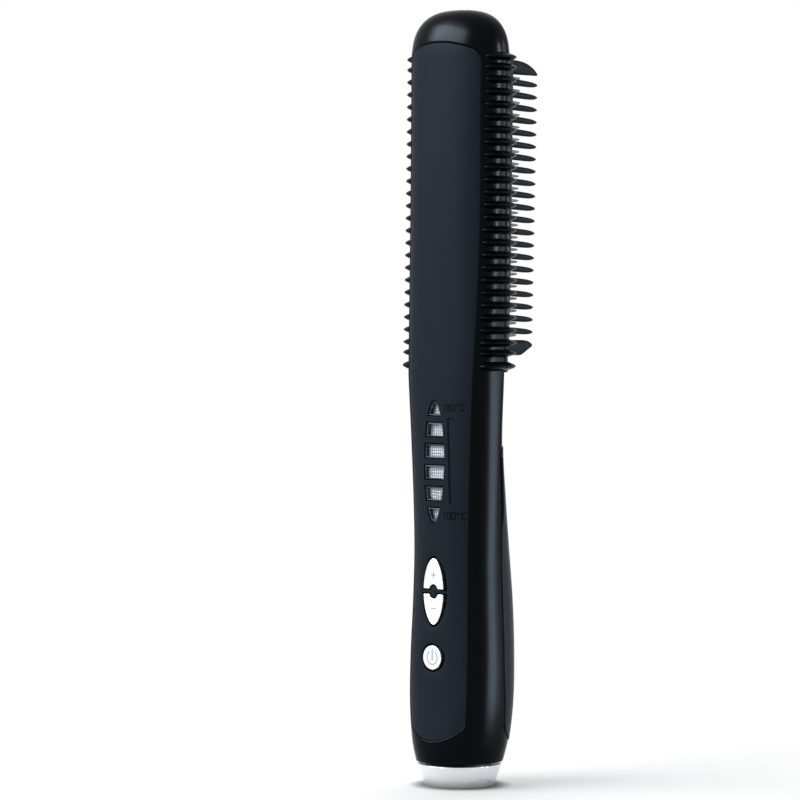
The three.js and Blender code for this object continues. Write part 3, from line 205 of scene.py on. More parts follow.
def surface_depth(x, z, grow=0.0):
    """Depth of the body's front above the point x, z."""
    a, f, _, n = radii(z, grow, False)
    climb = np.maximum(0, z - DOME_FOOT) / (DOME_HEIGHT + grow)
    open_share = np.maximum(0, 1 - climb**DOME_POWER) ** (n / DOME_POWER)
    return -f * np.maximum(0, open_share - (np.abs(x) / a) ** n) ** (1 / n)


# Flat outlines
def turned_left(loop):
    """The loop in the direction that keeps its inside on the left."""
    loop = np.asarray(loop, float)
    x, y = loop.T
    area = np.sum(x * np.roll(y, -1) - np.roll(x, -1) * y)
    return loop if area > 0 else loop[::-1]


def offset_loop(loop, distance):
    """Moves a loop outwards by distance."""
    forward = unit(np.roll(loop, -1, 0) - loop)
    backward = np.roll(forward, 1, 0)
    out_next = stacked(forward[:, 1], -forward[:, 0])
    out_last = stacked(backward[:, 1], -backward[:, 0])
    mean = unit(out_next + out_last)
    stretch = 1 / np.maximum(0.5, np.sum(mean * out_next, axis=1))
    return loop + mean * (distance * stretch)[:, None]


def outward(loop):
    return unit(offset_loop(loop, 1.0) - loop)


def dense(loop, spacing):
    """The loop with points added so that none is further than spacing from the next."""
    made = []
    for a, b in zip(loop, np.roll(loop, -1, 0)):
        count = max(1, int(math.ceil(np.linalg.norm(b - a) / spacing)))
        for k in range(count):
            made.append(a + (b - a) * k / count)
    return np.array(made)


def two_sided(half, z, above=(), below=()):
    """Loop up a right side and down its mirror image, with points that join them above and below."""
    return np.concatenate([stacked(half, z), *above, stacked(-half[::-1], z[::-1]), *below])


def inside(points, loop):
    x, y = points[:, 0][:, None], points[:, 1][:, None]
    x0, y0 = loop[:, 0][None], loop[:, 1][None]
    x1, y1 = np.roll(loop[:, 0], -1)[None], np.roll(loop[:, 1], -1)[None]
    crosses = (y0 > y) != (y1 > y)
    with np.errstate(divide="ignore", invalid="ignore"):
        cut = (x1 - x0) * (y - y0) / (y1 - y0) + x0
    return np.sum(crosses & (x < cut), axis=1) % 2 == 1


def nearest_squared(points, others):
    return np.min(np.sum((points[:, None] - others[None]) ** 2, -1), axis=1)


def clear_of(points, loops, distance):
    """Which points are further than distance from the corners of all loops."""
    every = np.concatenate(loops)
    keep = np.ones(len(points), bool)
    batch = 2000
    for start in range(0, len(points), batch):
        keep[start:start + batch] = nearest_squared(points[start:start + batch], every) > distance**2
    return keep


def filled(outer, holes, across, along):
    """Triangles that fill a loop and leave its holes open, with a grid of points inside."""
    low, high = outer.min(0), outer.max(0)
    rows = [np.zeros((0, 2))]
    for k, y in enumerate(np.arange(low[1] + along / 2, high[1], along)):
        rows.append(stacked(np.arange(low[0] + (0.5 if k % 2 else 0.0) * across, high[0], across), y))
    grid = np.concatenate(rows)
    grid = grid[inside(grid, outer)]
    for hole in holes:
        grid = grid[~inside(grid, hole)]
    loops = [outer, *holes]
    grid = grid[clear_of(grid, loops, 0.45 * min(across, along))]
    points = np.concatenate([*loops, grid])
    faces, start = [], 0
    for loop in loops:
        faces.append(list(range(start, start + len(loop))))
        start += len(loop)
    verts, _, tris, _, _, _ = delaunay_2d_cdt([Vector(p) for p in points], [], faces, 1, 1e-7, True)
    verts = np.array([tuple(v) for v in verts])
    tris = np.array([t for t in tris if len(t) == 3])
    middle = verts[tris].mean(1)
    keep = inside(middle, outer)
    for hole in holes:
        keep &= ~inside(middle, hole)
    tris = tris[keep]
    a, b, c = (verts[tris[:, k]] for k in range(3))
    area = (b[:, 0] - a[:, 0]) * (c[:, 1] - a[:, 1]) - (b[:, 1] - a[:, 1]) * (c[:, 0] - a[:, 0])
    tris[area < 0] = tris[area < 0][:, ::-1]
    return verts, tris


# Meshes
class Piece:
    """Points, faces and outward directions that are gathered into one mesh."""

    def __init__(self):
        self.points, self.faces, self.normals, self.count = [], [], [], 0

    def add(self, points, faces, normals):
        self.points.append(np.asarray(points, float))
        self.normals.append(np.asarray(normals, float))
        self.faces.extend([[i + self.count for i in face] for face in faces])
        self.count += len(points)

    def add_strip(self, rows, normals=None, closed=True, flip=False):
        """Quads between rows of points."""
        rows = np.asarray(rows, float)
        normals = np.zeros(rows.shape) if normals is None else np.asarray(normals, float)
        count = rows.shape[1]
        faces = []
        for r in range(len(rows) - 1):
            for i in range(count if closed else count - 1):
                j = (i + 1) % count
                face = [r * count + i, (r + 1) * count + i, (r + 1) * count + j, r * count + j]
                faces.append(face[::-1] if flip else face)
        self.add(rows.reshape(-1, 3), faces, normals.reshape(-1, 3))

    def close_ends(self, rows):
        """Faces over the first and the last of rows that a strip has closed."""
        count, last = len(rows[0]), self.count - len(rows[0])
        self.faces.append(list(range(count)))
        self.faces.append(list(range(last, last + count))[::-1])

    def add_flat(self, outline, depth, spacing):
        """Flat face at a depth, that looks to the front."""
        verts, tris = filled(outline, [], spacing, spacing)
        points = stacked(verts[:, 0], depth, verts[:, 1])
        self.add(points, tris.tolist(), np.tile([0, -1.0, 0], (len(points), 1)))

    def sweep(self, out, rings, way=-1, flip=True):
        """Strip through rings of outline, depth and direction: 0 degrees is outwards, 90 towards way."""
        rows, aims = [], []
        for loop, depth, turn in rings:
            c, s = around(turn)
            rows.append(stacked(loop[:, 0], depth, loop[:, 1]))
            aims.append(stacked(out[:, 0] * c, way * s, out[:, 1] * c))
        self.add_strip(rows, aims, flip=flip)


def skin(piece, outer, holes, lift, normal, across=1.2, along=1.6, radius=0.3, wall=WALL, hole_radius=None):
    """A surface over a flat outline, with rounded edges and short walls at its outline and holes."""
    outer = turned_left(outer)
    holes = [turned_left(h) for h in holes]
    inner = offset_loop(outer, -radius)
    wider = [offset_loop(h, hole_radius or radius) for h in holes]
    verts, tris = filled(inner, wider, across, along)
    points = lift(verts)
    a, b, c = (points[tris[:, k]] for k in range(3))
    area = np.linalg.norm(np.cross(b - a, c - a), axis=1)
    piece.add(points, tris[area > 1e-7].tolist(), normal(points))
    for edge, start, is_hole in [(outer, inner, False)] + [(h, w, True) for h, w in zip(holes, wider)]:
        foot = lift(start)
        up = normal(foot)
        out = lift(edge) - foot
        out -= up * np.sum(out * up, 1)[:, None]
        reach = np.linalg.norm(out, axis=1)[:, None]
        out = out / np.maximum(reach, 1e-9)
        rows, directions = [], []
        for k in range(EDGE_ROWS + 1):
            turn = math.pi / 2 * k / EDGE_ROWS
            rows.append(foot + out * reach * math.sin(turn) - up * reach * (1 - math.cos(turn)))
            directions.append(up * math.cos(turn) + out * math.sin(turn))
        rows.append(rows[-1] - up * wall)
        directions.append(out)
        piece.add_strip(rows, directions, flip=is_hole)


def mesh_of(name, piece, depth=AXIS_DEPTH):
    """Mesh in metres of a piece whose axis lies at a depth."""
    mesh = bpy.data.meshes.new(name)
    mesh.from_pydata(((np.concatenate(piece.points) + (0, depth, 0)) * MM).tolist(), [], piece.faces)
    mesh.update()
    mesh.shade_smooth()
    return mesh


def dress(name, mesh, material, body, replaces, slot):
    """Makes a mesh an object that rides on a body of the frame."""
    obj = bpy.data.objects.new(name, mesh)
    bpy.context.scene.collection.objects.link(obj)
    obj.data.materials.clear()
    obj.data.materials.append(material)
    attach(obj, body)
    if replaces:
        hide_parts(*replaces)


def put(name, piece, material, slot, replaces=(), body="body"):
    """Object from a piece that carries its own directions."""
    mesh = mesh_of(name, piece)
    mesh.normals_split_custom_set_from_vertices(np.concatenate(piece.normals).tolist())
    dress(name, mesh, material, body, replaces, slot)


def keep_mesh(name, mesh, material, slot, replaces=(), sharp=35):
    """Object from a mesh whose edges are sharp above an angle."""
    mesh.set_sharp_from_angle(angle=math.radians(sharp))
    mesh.name = name
    dress(name, mesh, material, "body", replaces, slot)


# Shader nodes
def connect(tree, node, sockets):
    """Sets inputs of a node to values, or links them from outputs of other nodes."""
    for name, value in sockets.items():
        if isinstance(value, bpy.types.NodeSocket):
            tree.links.new(value, node.inputs[name])
        else:
            node.inputs[name].default_value = value


def add_node(tree, kind, sockets=(), **settings):
    """A node with its settings and inputs. Returns its outputs."""
    node = tree.nodes.new(kind)
    for name, value in settings.items():
        setattr(node, name, value)
    connect(tree, node, dict(sockets))
    return node.outputs


def calc(tree, operation, a, b):
    return add_node(tree, "ShaderNodeMath", {0: a, 1: b}, operation=operation)[0]


def ramp(tree, value, low, high, to_low=0.0, to_high=1.0, kind="LINEAR"):
    """Value from to_low to to_high as another one goes from low to high."""
    ends = {"Value": value, "From Min": low, "From Max": high, "To Min": to_low, "To Max": to_high}
    return add_node(tree, "ShaderNodeMapRange", ends, interpolation_type=kind)["Result"]


def blend(tree, factor, a, b):
    """Colour between a and b."""
    return add_node(tree, "ShaderNodeMix", {"Factor": factor, "A": a, "B": b}, data_type="RGBA")["Result"]


def mask_group(name, sizes, masks):
    """Empty shader group with number inputs and outputs, and the Object coordinates to work from."""
    tree = bpy.data.node_groups.new(name, "ShaderNodeTree")
    number = "NodeSocketFloat"
    for label, value in sizes.items():
        tree.interface.new_socket(label, in_out="INPUT", socket_type=number).default_value = value
    for label in masks:
        tree.interface.new_socket(label, in_out="OUTPUT", socket_type=number)
    place = add_node(tree, "ShaderNodeTexCoord")["Object"]
    return tree, add_node(tree, "NodeGroupInput"), place


def moulded_grain_group():
    """Fine grain of moulded plastic: a height for bump, a roughness mask and a slow colour drift."""
    sizes = {"Grain size": 4000.0, "Drift size": 30.0}
    tree, given, place = mask_group("moulded grain", sizes, ("Height", "Mask", "Drift"))
    patches = calc(tree, "MULTIPLY", given["Drift size"], 9.0)
    masks = {}
    for label, scale, detail in (
        ("Height", given["Grain size"], 3.0), ("Mask", patches, 4.0), ("Drift", given["Drift size"], 2.0),
    ):
        noise = {"Vector": place, "Scale": scale, "Detail": detail}
        masks[label] = add_node(tree, "ShaderNodeTexNoise", noise)["Fac"]
    add_node(tree, "NodeGroupOutput", masks)
    return tree


def turned_rings_group():
    """Fine rings of a lacquered or turned metal part, round the axis of the end cap."""
    tree, given, place = mask_group("turned rings", {"Rings": 9000.0}, ("Height", "Mask"))
    stretched = add_node(tree, "ShaderNodeMapping", {"Vector": place, "Scale": (0.02, 0.02, 1.0)})["Vector"]
    rings = {"Vector": stretched, "Scale": given["Rings"], "Detail": 2.0}
    add_node(tree, "NodeGroupOutput", {
        "Height": add_node(tree, "ShaderNodeTexNoise", rings)["Fac"],
        "Mask": add_node(tree, "ShaderNodeTexNoise", {"Vector": place, "Scale": 2500.0})["Fac"],
    })
    return tree


def window_cells_group():
    """Square cells of a light-spreading window: bright cells with dark lines between them."""
    tree, given, place = mask_group("window cells", {"Cells": 950.0}, ("Cell", "Height"))
    parts = add_node(tree, "ShaderNodeSeparateXYZ", {"Vector": place})
    cells = []
    for source in (calc(tree, "ADD", parts["X"], parts["Y"]), parts["Z"]):
        wave = calc(tree, "PINGPONG", calc(tree, "MULTIPLY", source, given["Cells"]), 0.5)
        cells.append(ramp(tree, wave, 0.04, 0.2, kind="SMOOTHSTEP"))
    both = calc(tree, "MULTIPLY", *cells)
    add_node(tree, "NodeGroupOutput", {"Cell": both, "Height": both})
    return tree


MOULDED_GRAIN = moulded_grain_group()
TURNED_RINGS = turned_rings_group()
WINDOW_CELLS = window_cells_group()


# Finishes
def linear(hexcode):
    """Colour of six hexadecimal digits as the linear values that a shader takes."""
    made = []
    for k in (0, 2, 4):
        value = int(hexcode[k:k + 2], 16) / 255
        made.append(value / 12.92 if value <= 0.04045 else ((value + 0.055) / 1.055) ** 2.4)
    return (*made, 1.0)


def new_finish(name):
    material = bpy.data.materials.new(name)
    material.use_nodes = True
    tree = material.node_tree
    tree.nodes.clear()
    shader = tree.nodes.new("ShaderNodeBsdfPrincipled")
    output = tree.nodes.new("ShaderNodeOutputMaterial")
    tree.links.new(shader.outputs["BSDF"], output.inputs["Surface"])
    return material, tree, shader


def relief(tree, height, strength, distance):
    sockets = {"Height": height, "Strength": strength, "Distance": distance}
    return add_node(tree, "ShaderNodeBump", sockets)["Normal"]


def two_shades(name, light, dark, roughness, spread, group, sizes, drift, gloss, bump, bump_height, levels):
    """Finish of two close shades with a broken gloss and a fine relief, all from one shader group."""
    material, tree, shader = new_finish(name)
    masks = add_node(tree, "ShaderNodeGroup", sizes, node_tree=group)
    connect(tree, shader, {
        "Base Color": blend(tree, masks[drift], linear(dark), linear(light)),
        "Roughness": ramp(tree, masks[gloss], 0.3, 0.7, roughness - spread, roughness + spread),
        "Normal": relief(tree, masks["Height"], bump, bump_height),
        **levels,
    })
    return material


def plastic(name, light, dark, roughness, spread, grain, bump, specular=0.5, drift=30.0, coat=0.0):
    """Moulded plastic: two close shades that drift, a broken gloss and fine grain."""
    sizes = {"Grain size": grain, "Drift size": drift}
    levels = {"Specular IOR Level": specular, "Coat Weight": coat, "Coat Roughness": 0.05}
    return two_shades(
        name, light, dark, roughness, spread, MOULDED_GRAIN, sizes, "Drift", "Mask", bump, 0.00005, levels,
    )


def metal(name, light, dark, roughness, spread, rings, bump, metallic=1.0):
    """Satin metal or metallic lacquer with fine rings and a slight sparkle."""
    sizes, levels = {"Rings": rings}, {"Metallic": metallic}
    return two_shades(
        name, light, dark, roughness, spread, TURNED_RINGS, sizes, "Mask", "Height", bump, 0.00004, levels,
    )


def cell_window(name, cell, line, roughness):
    """Frosted window of small square cells."""
    material, tree, shader = new_finish(name)
    masks = add_node(tree, "ShaderNodeGroup", node_tree=WINDOW_CELLS)
    connect(tree, shader, {
        "Base Color": blend(tree, masks["Cell"], linear(line), linear(cell)),
        "Normal": relief(tree, masks["Height"], 0.6, 0.0001),
        "Roughness": roughness,
        "Metallic": 0.35,
    })
    return material


# Each finish: light and dark shade, roughness and its spread, grain or rings, bump, specular level
gloss_black = plastic("gloss black housing", "070a0f", "04060a", 0.25, 0.02, 900.0, 0.01, 0.04)
panel_black = plastic("matte black panel", "232a32", "1e252c", 0.5, 0.05, 5200.0, 0.15, 0.03)
grip_black = plastic("satin grip cover", "222a33", "1c232b", 0.38, 0.04, 2600.0, 0.06, 0.05)
frame_black = plastic("gloss comb frame", "070a0f", "04060a", 0.22, 0.02, 1200.0, 0.02, 0.04)
tooth_slate = plastic("slate guard teeth", "1d252b", "161c22", 0.4, 0.05, 2400.0, 0.08, 0.03)
print_grey = plastic("tone on tone print", "090b0e", "06080b", 0.4, 0.03, 2600.0, 0.02, 0.03)
sign_grey = plastic("pale grey sign", "b4b6ba", "a9abb0", 0.45, 0.03, 2600.0, 0.02, 0.1)
# Painted shade: a near-black finish for the floor behind the panel's gaps and for the button skirts, where
# shade falls
well_painted_shade = plastic("painted shade well", "050607", "030404", 0.5, 0.05, 2600.0, 0.05, 0.1)
rubber_black = plastic("cord gland rubber", "17181a", "0e0f10", 0.72, 0.08, 1800.0, 0.35, 0.35)
part_black = plastic("black component", "202225", "151618", 0.5, 0.08, 2200.0, 0.15, 0.4)
board_green = plastic("green board mask", "1f5238", "123824", 0.35, 0.08, 1500.0, 0.1, coat=0.3)
ceramic_white = plastic("unglazed ceramic", "e8e3d8", "d2cabb", 0.7, 0.08, 2600.0, 0.25, 0.4)
mica_tan = plastic("pressed mica sheet", "bfae82", "8f7f58", 0.5, 0.15, 700.0, 0.2, drift=400.0)
lead_red = plastic("silicone lead", "92302a", "6f1f1a", 0.5, 0.08, 1800.0, 0.15, 0.4)
led_white = plastic("moulded lens", "eef1f5", "dfe4ea", 0.2, 0.05, 1800.0, 0.05)
capacitor_tan = plastic("capacitor case", "c9b98a", "a8966a", 0.45, 0.08, 1600.0, 0.12, 0.4)
cap_silver = metal("satin silver cap", "f3f4f6", "e9ebee", 0.3, 0.04, 9000.0, 0.03)
button_silver = metal("satin silver button", "f6f7f8", "eceef0", 0.3, 0.04, 5000.0, 0.03)
heated_metal = metal("coated heat plate", "3a4650", "2d3740", 0.4, 0.06, 3000.0, 0.1, metallic=0.15)
screw_steel = metal("plain screw steel", "a3a6aa", "7d8084", 0.35, 0.08, 6000.0, 0.2)
window_grey = cell_window("window of small cells", "c6cad0", "5f646b", 0.34)
# Painted shade: the window trays' rims and walls take a darker copy of the cell finish
window_wall_painted_shade = cell_window("walls of small cells in painted shade", "3a3f45", "14171a", 0.4)


# Outlines on the front: panel ends by apex, rise of the arc, corner and direction
PANEL_BOTTOM = (BODY_FOOT + 9.35, 5.7, 2.0, -1)
PANEL_TOP = (DOME_FOOT + 7.7, 3.5, 3.2, 1)


def panel_outline(grow):
    """Outline of the front panel in x and z: shallow end arcs that turn into the sides by round corners."""
    arcs = []
    for apex, rise, corner, direction in (PANEL_TOP, PANEL_BOTTOM):
        foot = apex - direction * (rise + corner)
        wide = float(half_width(min(foot, DOME_FOOT)) * panel_share(foot)) + grow
        x = wide * np.sin(np.linspace(math.pi / 2, -math.pi / 2, 81))
        turn = np.clip((np.abs(x) - wide + corner) / corner, 0, 1)
        drop = rise * (x / wide) ** 2 + corner * (1 - np.sqrt(1 - turn**2))
        arcs.append(stacked(x, apex + direction * (grow - drop)))
    z = np.linspace(arcs[1][0, 1], arcs[0][0, 1], 150)[1:-1]
    half = half_width(np.minimum(z, DOME_FOOT)) * panel_share(z) + grow
    loop = two_sided(half, z, [arcs[0]], [arcs[1][::-1]])
    return loop[np.linalg.norm(loop - np.roll(loop, 1, 0), axis=1) > 0.02]


OVAL_POWER = 0.55


def oval_half(distance, half_length, half):
    """Half width of a pointed oval at a distance from its middle."""
    return half * np.maximum(0, 1 - np.minimum(1, np.abs(distance) / half_length) ** 2) ** OVAL_POWER


WINDOW_COUNT, WINDOW_PITCH, WINDOW_GAP, WINDOW_WIDTH = 6, 7.9, 2.6, 9.8
WINDOW_CENTRE = NECK_FOOT - 7.4
DISPLAY_HALF = (WINDOW_COUNT * WINDOW_PITCH - WINDOW_GAP) / 2
DISPLAY_TIP = 0.4
WINDOW_RIM, WINDOW_WALL, WINDOW_FLOOR, WINDOW_TAPER = 0.5, 0.3, 2.35, 0.12


def window_outline(index, grow):
    """Slice of the display's pointed oval."""
    low = WINDOW_CENTRE - DISPLAY_HALF + index * WINDOW_PITCH
    z = np.linspace(low, low + WINDOW_PITCH - WINDOW_GAP, 15)
    half = oval_half(z - WINDOW_CENTRE, DISPLAY_HALF + DISPLAY_TIP, WINDOW_WIDTH / 2) + grow
    z[0] -= grow
    z[-1] += grow
    return dense(two_sided(half, z), 0.5)


def window_middle(index):
    return WINDOW_CENTRE - DISPLAY_HALF + index * WINDOW_PITCH + (WINDOW_PITCH - WINDOW_GAP) / 2


POWER_CENTRE, POWER_RADIUS = BODY_FOOT + 40.1, 4.6
TEMP_CENTRE = POWER_CENTRE + 24.5
TEMP_HALF, TEMP_WIDTH, TEMP_SPLIT, TEMP_NOTCH = 12.5, 10.0, 1.8, 2.6
NOTCH_SHARE = 0.82
# The gap round a button is wider at its sides and narrower at the split
SIDE_GAP, SPLIT_GAP = 1.5, 0.6
BUTTON_SINK, BUTTON_INSET, BUTTON_RING = -0.05, 0.1, 0.72


def temp_outline(direction, grow):
    """Half of a pointed oval with a round notch at the split, for a temperature button."""
    narrow, aside = (SPLIT_GAP * grow, SIDE_GAP * grow) if grow > 0 else (grow, grow)
    split, notch, tip = TEMP_SPLIT / 2 - narrow, TEMP_NOTCH - narrow, TEMP_HALF + grow
    start = math.asin(min(1, split / notch))
    turn = np.linspace(math.pi / 2, start, 9)
    hollow = stacked(NOTCH_SHARE * notch * np.cos(turn), notch * np.sin(turn))[1:]
    z = split + (tip - split) * np.sin(np.linspace(0, math.pi / 2, 26))
    side = stacked(oval_half(z, tip + 0.01, TEMP_WIDTH / 2 + aside), z)
    right = np.concatenate([hollow, side[:-1]])
    left = stacked(-right[::-1, 0], right[::-1, 1])
    loop = np.concatenate([[[0, notch]], right, [[0, tip]], left])
    loop[:, 1] = TEMP_CENTRE + direction * loop[:, 1]
    return dense(loop, 0.5)


def power_outline(grow):
    turn = full_turn(64)
    wide = POWER_RADIUS + grow * (SIDE_GAP if grow > 0 else 1)
    return stacked(wide * np.cos(turn), POWER_CENTRE + (POWER_RADIUS + grow) * np.sin(turn))


# Each button: its outline, the height that its face is level with, and its body in the frame
BUTTONS = {
    "power": (power_outline, POWER_CENTRE, "power_button"),
    "temp_up": (lambda grow: temp_outline(1, grow), TEMP_CENTRE, "temperature_up_button"),
    "temp_down": (lambda grow: temp_outline(-1, grow), TEMP_CENTRE, "temperature_down_button"),
}


# Outlines round the body: travel round it is measured on a circle of this radius
ROUND = 19.0
SCREW_HOLE = 2.4
NECK_SCREW = HEAD_FOOT - 5.1
CASE_SCREW = BODY_FOOT + 48.0


def on_round(degrees, v):
    return stacked(np.radians(degrees) * ROUND, v)


def lift_on(grow, head=False):
    return lambda uv: body_point(np.degrees(uv[:, 0] / ROUND), uv[:, 1], grow, head)


def direction_on(grow, head=False):
    return lambda points: body_normal(points, grow, head)


def to_surface(loop, back=False):
    """Turns an outline in x and z into travel round and along the body. On the back it keeps its width
    past the foot of the dome."""
    x, z = loop.T
    foot = np.minimum(z, DOME_FOOT)
    climb = 0 * z if back else np.maximum(0, z - DOME_FOOT) / DOME_HEIGHT
    shrink = np.maximum(1e-6, 1 - climb**DOME_POWER) ** (1 / DOME_POWER)
    share = np.clip(np.abs(x) / (half_width(foot) * shrink), 0, 1) ** (squareness(foot) / 2)
    turn = np.degrees(np.arccos(share))
    degrees = np.where(x >= 0, turn, 180 - turn)
    return on_round(degrees if back else -degrees, travel_at(z))


def angle_at_depth(depth, v, grow=0.0, head=False):
    """Angle, from the right side towards the back, at which the body's surface has a depth."""
    climb, shrink = dome_turn(v)
    z = np.minimum(v, DOME_FOOT) + DOME_HEIGHT * climb
    _, _, b, n = radii(z, grow, head)
    share = np.clip(depth / np.maximum(b * shrink, 1e-6), 0, 1)
    return np.degrees(np.arcsin(share ** (n / 2)))


def parting_angle(v, offset=0.0, head=False):
    """Angle of the joint between the front and back pieces."""
    climb, _ = dome_turn(v)
    z = np.minimum(v, DOME_FOOT) + DOME_HEIGHT * climb
    return angle_at_depth(parting_depth(z) + offset, v, 0.0, head)


def mirrored(right_degrees, v, middle):
    """Loop from the angle of its right edge at each travel, closed by its mirror image."""
    left_degrees = 2 * middle - right_degrees[::-1]
    return np.concatenate([on_round(right_degrees, v), on_round(left_degrees, v[::-1])])


def screw_hole(height):
    """Hole in the middle of the back, slightly narrower on the circle than it is high."""
    turn = full_turn(32)
    x = math.radians(90) * ROUND + SCREW_HOLE * np.cos(turn) * 0.95
    return stacked(x, height + SCREW_HOLE * np.sin(turn))


# Rear cover, seen from the side
COVER_BOTTOM_CORNER, COVER_TOP_CORNER, COVER_PROUD, COVER_TOP = 9.0, 6.0, 0.35, NECK_FOOT - 0.3
SLOT_FOOT, SLOT_FULL, SLOT_TOP = NECK_FOOT - 32, NECK_FOOT - 24, NECK_FOOT - COVER_TOP_CORNER
SLOT_WIDTH, SLOT_DEPTH = 1.5, 1.1
# A distance beyond the whole body, for heights at which there is no cover
FAR = 60.0


def cover_edge(v, offset):
    """Depth of the rear cover's edge at height v: the cover lies behind it."""
    base = parting_depth(v) + PARTING_GAP / 2 - offset
    low, high = COVER_FOOT - offset, COVER_TOP + offset
    for foot, length, direction in ((low, COVER_BOTTOM_CORNER, 1), (high, COVER_TOP_CORNER, -1)):
        reach = np.clip(direction * (v - foot) / length, 0, 1)
        turn = np.arcsin(1 - reach)
        base = base + 1.5 * length * (1 - np.cos(turn)) * (reach < 1)
    return np.where((v < low) | (v > high), FAR, base)


def slot_width(v):
    """Width of the shallow slot along the upper part of the cover's edge."""
    grown = np.clip((v - SLOT_FOOT) / (SLOT_FULL - SLOT_FOOT), 0, 1)
    return SLOT_WIDTH * grown * (2 - grown) * (v < SLOT_TOP - 0.01)


def slot_floor(sign):
    """Floor of the slot, between the parting line and the cover's stepped edge."""
    piece = Piece()
    low = COVER_PROUD - SLOT_DEPTH
    v = np.linspace(SLOT_FOOT, SLOT_TOP + 0.5, 40)
    width = slot_width(np.minimum(v, SLOT_TOP - 0.1)) + 0.3
    rows = []
    for share in np.linspace(0, 1, 5):
        degrees = angle_at_depth(cover_edge(v, 0.0) + share * width, v, COVER_PROUD)
        rows.append(body_point(degrees, v, low))
    rows = np.array(rows)
    rows[..., 0] *= sign
    piece.add_strip(rows, body_normal(rows, low), closed=False, flip=sign > 0)
    return piece


def rear_cover():
    """Grip cover, which stands slightly proud, with the hole of its screw."""
    piece = Piece()
    v = np.concatenate([
        COVER_FOOT + (COVER_BOTTOM_CORNER + 2) * np.linspace(0, 1, 40) ** 2,
        np.linspace(COVER_FOOT + COVER_BOTTOM_CORNER + 3, COVER_TOP - COVER_TOP_CORNER - 3, 100),
        COVER_TOP - (COVER_TOP_CORNER + 2) * np.linspace(1, 0, 40) ** 2,
    ])
    edge = np.minimum(cover_edge(v, 0.0) + slot_width(v), back_depth(v) + COVER_PROUD)
    outline = mirrored(angle_at_depth(edge, v, COVER_PROUD), v, 90)
    lift, aim = lift_on(COVER_PROUD), direction_on(COVER_PROUD)
    skin(piece, outline, [screw_hole(CASE_SCREW)], lift, aim, radius=0.35, wall=2.2)
    return piece


# Front shell and panel. Below the first height the shell's edge follows the cover's corner alone, and
# above the second it is the joint itself
CORNER_END, STRAIGHT_FROM = 22.0, 60.0
# Hollows round the buttons: reach, depth, and the height from their middle within which they lie
DISH_REACH, DISH_DEPTH, DISH_SPAN = 2.4, 0.38, 32.0
FLOOR_DROP = 1.7


def front_shell():
    """Gloss moulding from the collar to the dome, open where the panel lies."""
    piece = Piece()
    low = COVER_FOOT - PARTING_GAP
    v = np.concatenate([
        np.linspace(BODY_FOOT - 0.2, low, 10),
        np.linspace(low + 0.02, 30, 60),
        np.linspace(30.5, DOME_FOOT, 200),
        np.linspace(DOME_FOOT + 0.4, DOME_FOOT + DOME_ARC, 90),
    ])
    parting = parting_depth(v) - PARTING_GAP / 2
    edge = np.minimum(cover_edge(v, PARTING_GAP), parting + FAR * (v < CORNER_END))
    edge = np.where(v > STRAIGHT_FROM, parting, edge)
    degrees = np.where(v > HEAD_FOOT, angle_at_depth(edge, v, 0.0, True), angle_at_depth(edge, v))

    def lift(uv):
        return np.where(uv[:, 1:] > HEAD_FOOT, lift_on(0, True)(uv), lift_on(0)(uv))

    def aim(points):
        return np.where(points[:, 2:] > HEAD_FOOT, body_normal(points, 0, True), body_normal(points, 0))

    pocket = to_surface(panel_outline(PANEL_GAP))
    skin(piece, mirrored(degrees, v, -90), [pocket], lift, aim, radius=0.12, wall=1.4, hole_radius=0.6)
    return piece


def pocket_floor():
    """Near-black floor behind the panel: painted shade seen only through the gaps round windows and buttons.
    """
    piece = Piece()

    def floor_depth(loop):
        return surface_depth(loop[:, 0], loop[:, 1], -FLOOR_DROP)

    holes = [turned_left(window_outline(i, 0.1)) for i in range(WINDOW_COUNT)]
    holes += [turned_left(whole(0.15)) for whole, _, _ in BUTTONS.values()]
    verts, tris = filled(turned_left(panel_outline(0.2)), holes, 2.5, 4.0)
    points = stacked(verts[:, 0], floor_depth(verts), verts[:, 1])
    piece.add(points, tris.tolist(), body_normal(points, -FLOOR_DROP))
    for whole, _, _ in BUTTONS.values():
        loop = turned_left(whole(BUTTON_RING - 0.04))
        near = panel_depth(loop[:, 0], loop[:, 1]) + 0.06
        piece.sweep(outward(loop), [(loop, near, 180), (loop, floor_depth(loop), 180)], flip=False)
    return piece


def dish(x, z):
    """Depth of the shallow hollows round the buttons."""
    edges = np.concatenate([whole(0.3) for whole, _, _ in BUTTONS.values()])
    near = np.abs(z - (POWER_CENTRE + TEMP_CENTRE) / 2) < DISH_SPAN
    away = np.full(len(x), FAR)
    away[near] = np.sqrt(nearest_squared(stacked(x, z)[near], edges))
    t = np.clip(away / DISH_REACH, 0, 1)
    return DISH_DEPTH * (1 - t * t * (3 - 2 * t))


def panel_depth(x, z, height=0.0):
    return surface_depth(x, z, height - PANEL_RECESS) + dish(x, z)


def panel_lift(xz, height=0.0):
    return stacked(xz[:, 0], panel_depth(xz[:, 0], xz[:, 1], height), xz[:, 1])


def panel_normal(p):
    """Outward direction of the panel, hollows included."""
    step = 0.05
    x, z = p[:, 0], p[:, 2]
    slope_x = (dish(x + step, z) - dish(x - step, z)) / (2 * step)
    slope_z = (dish(x, z + step) - dish(x, z - step)) / (2 * step)
    aim = body_normal(stacked(x, p[:, 1] - dish(x, z), z), -PANEL_RECESS)
    depth = np.minimum(aim[:, 1], -0.05)
    return unit(aim + stacked(-slope_x * depth, 0.0, -slope_z * depth))


def front_panel():
    """Matte skin with the cut-outs of the display and the buttons."""
    piece = Piece()
    holes = [window_outline(i, 0.3) for i in range(WINDOW_COUNT)]
    holes += [whole(BUTTON_RING) for whole, _, _ in BUTTONS.values()]
    outline = panel_outline(0)
    skin(piece, outline, holes, panel_lift, panel_normal, across=0.9, along=1.0, radius=0.12, wall=1.0)
    return piece


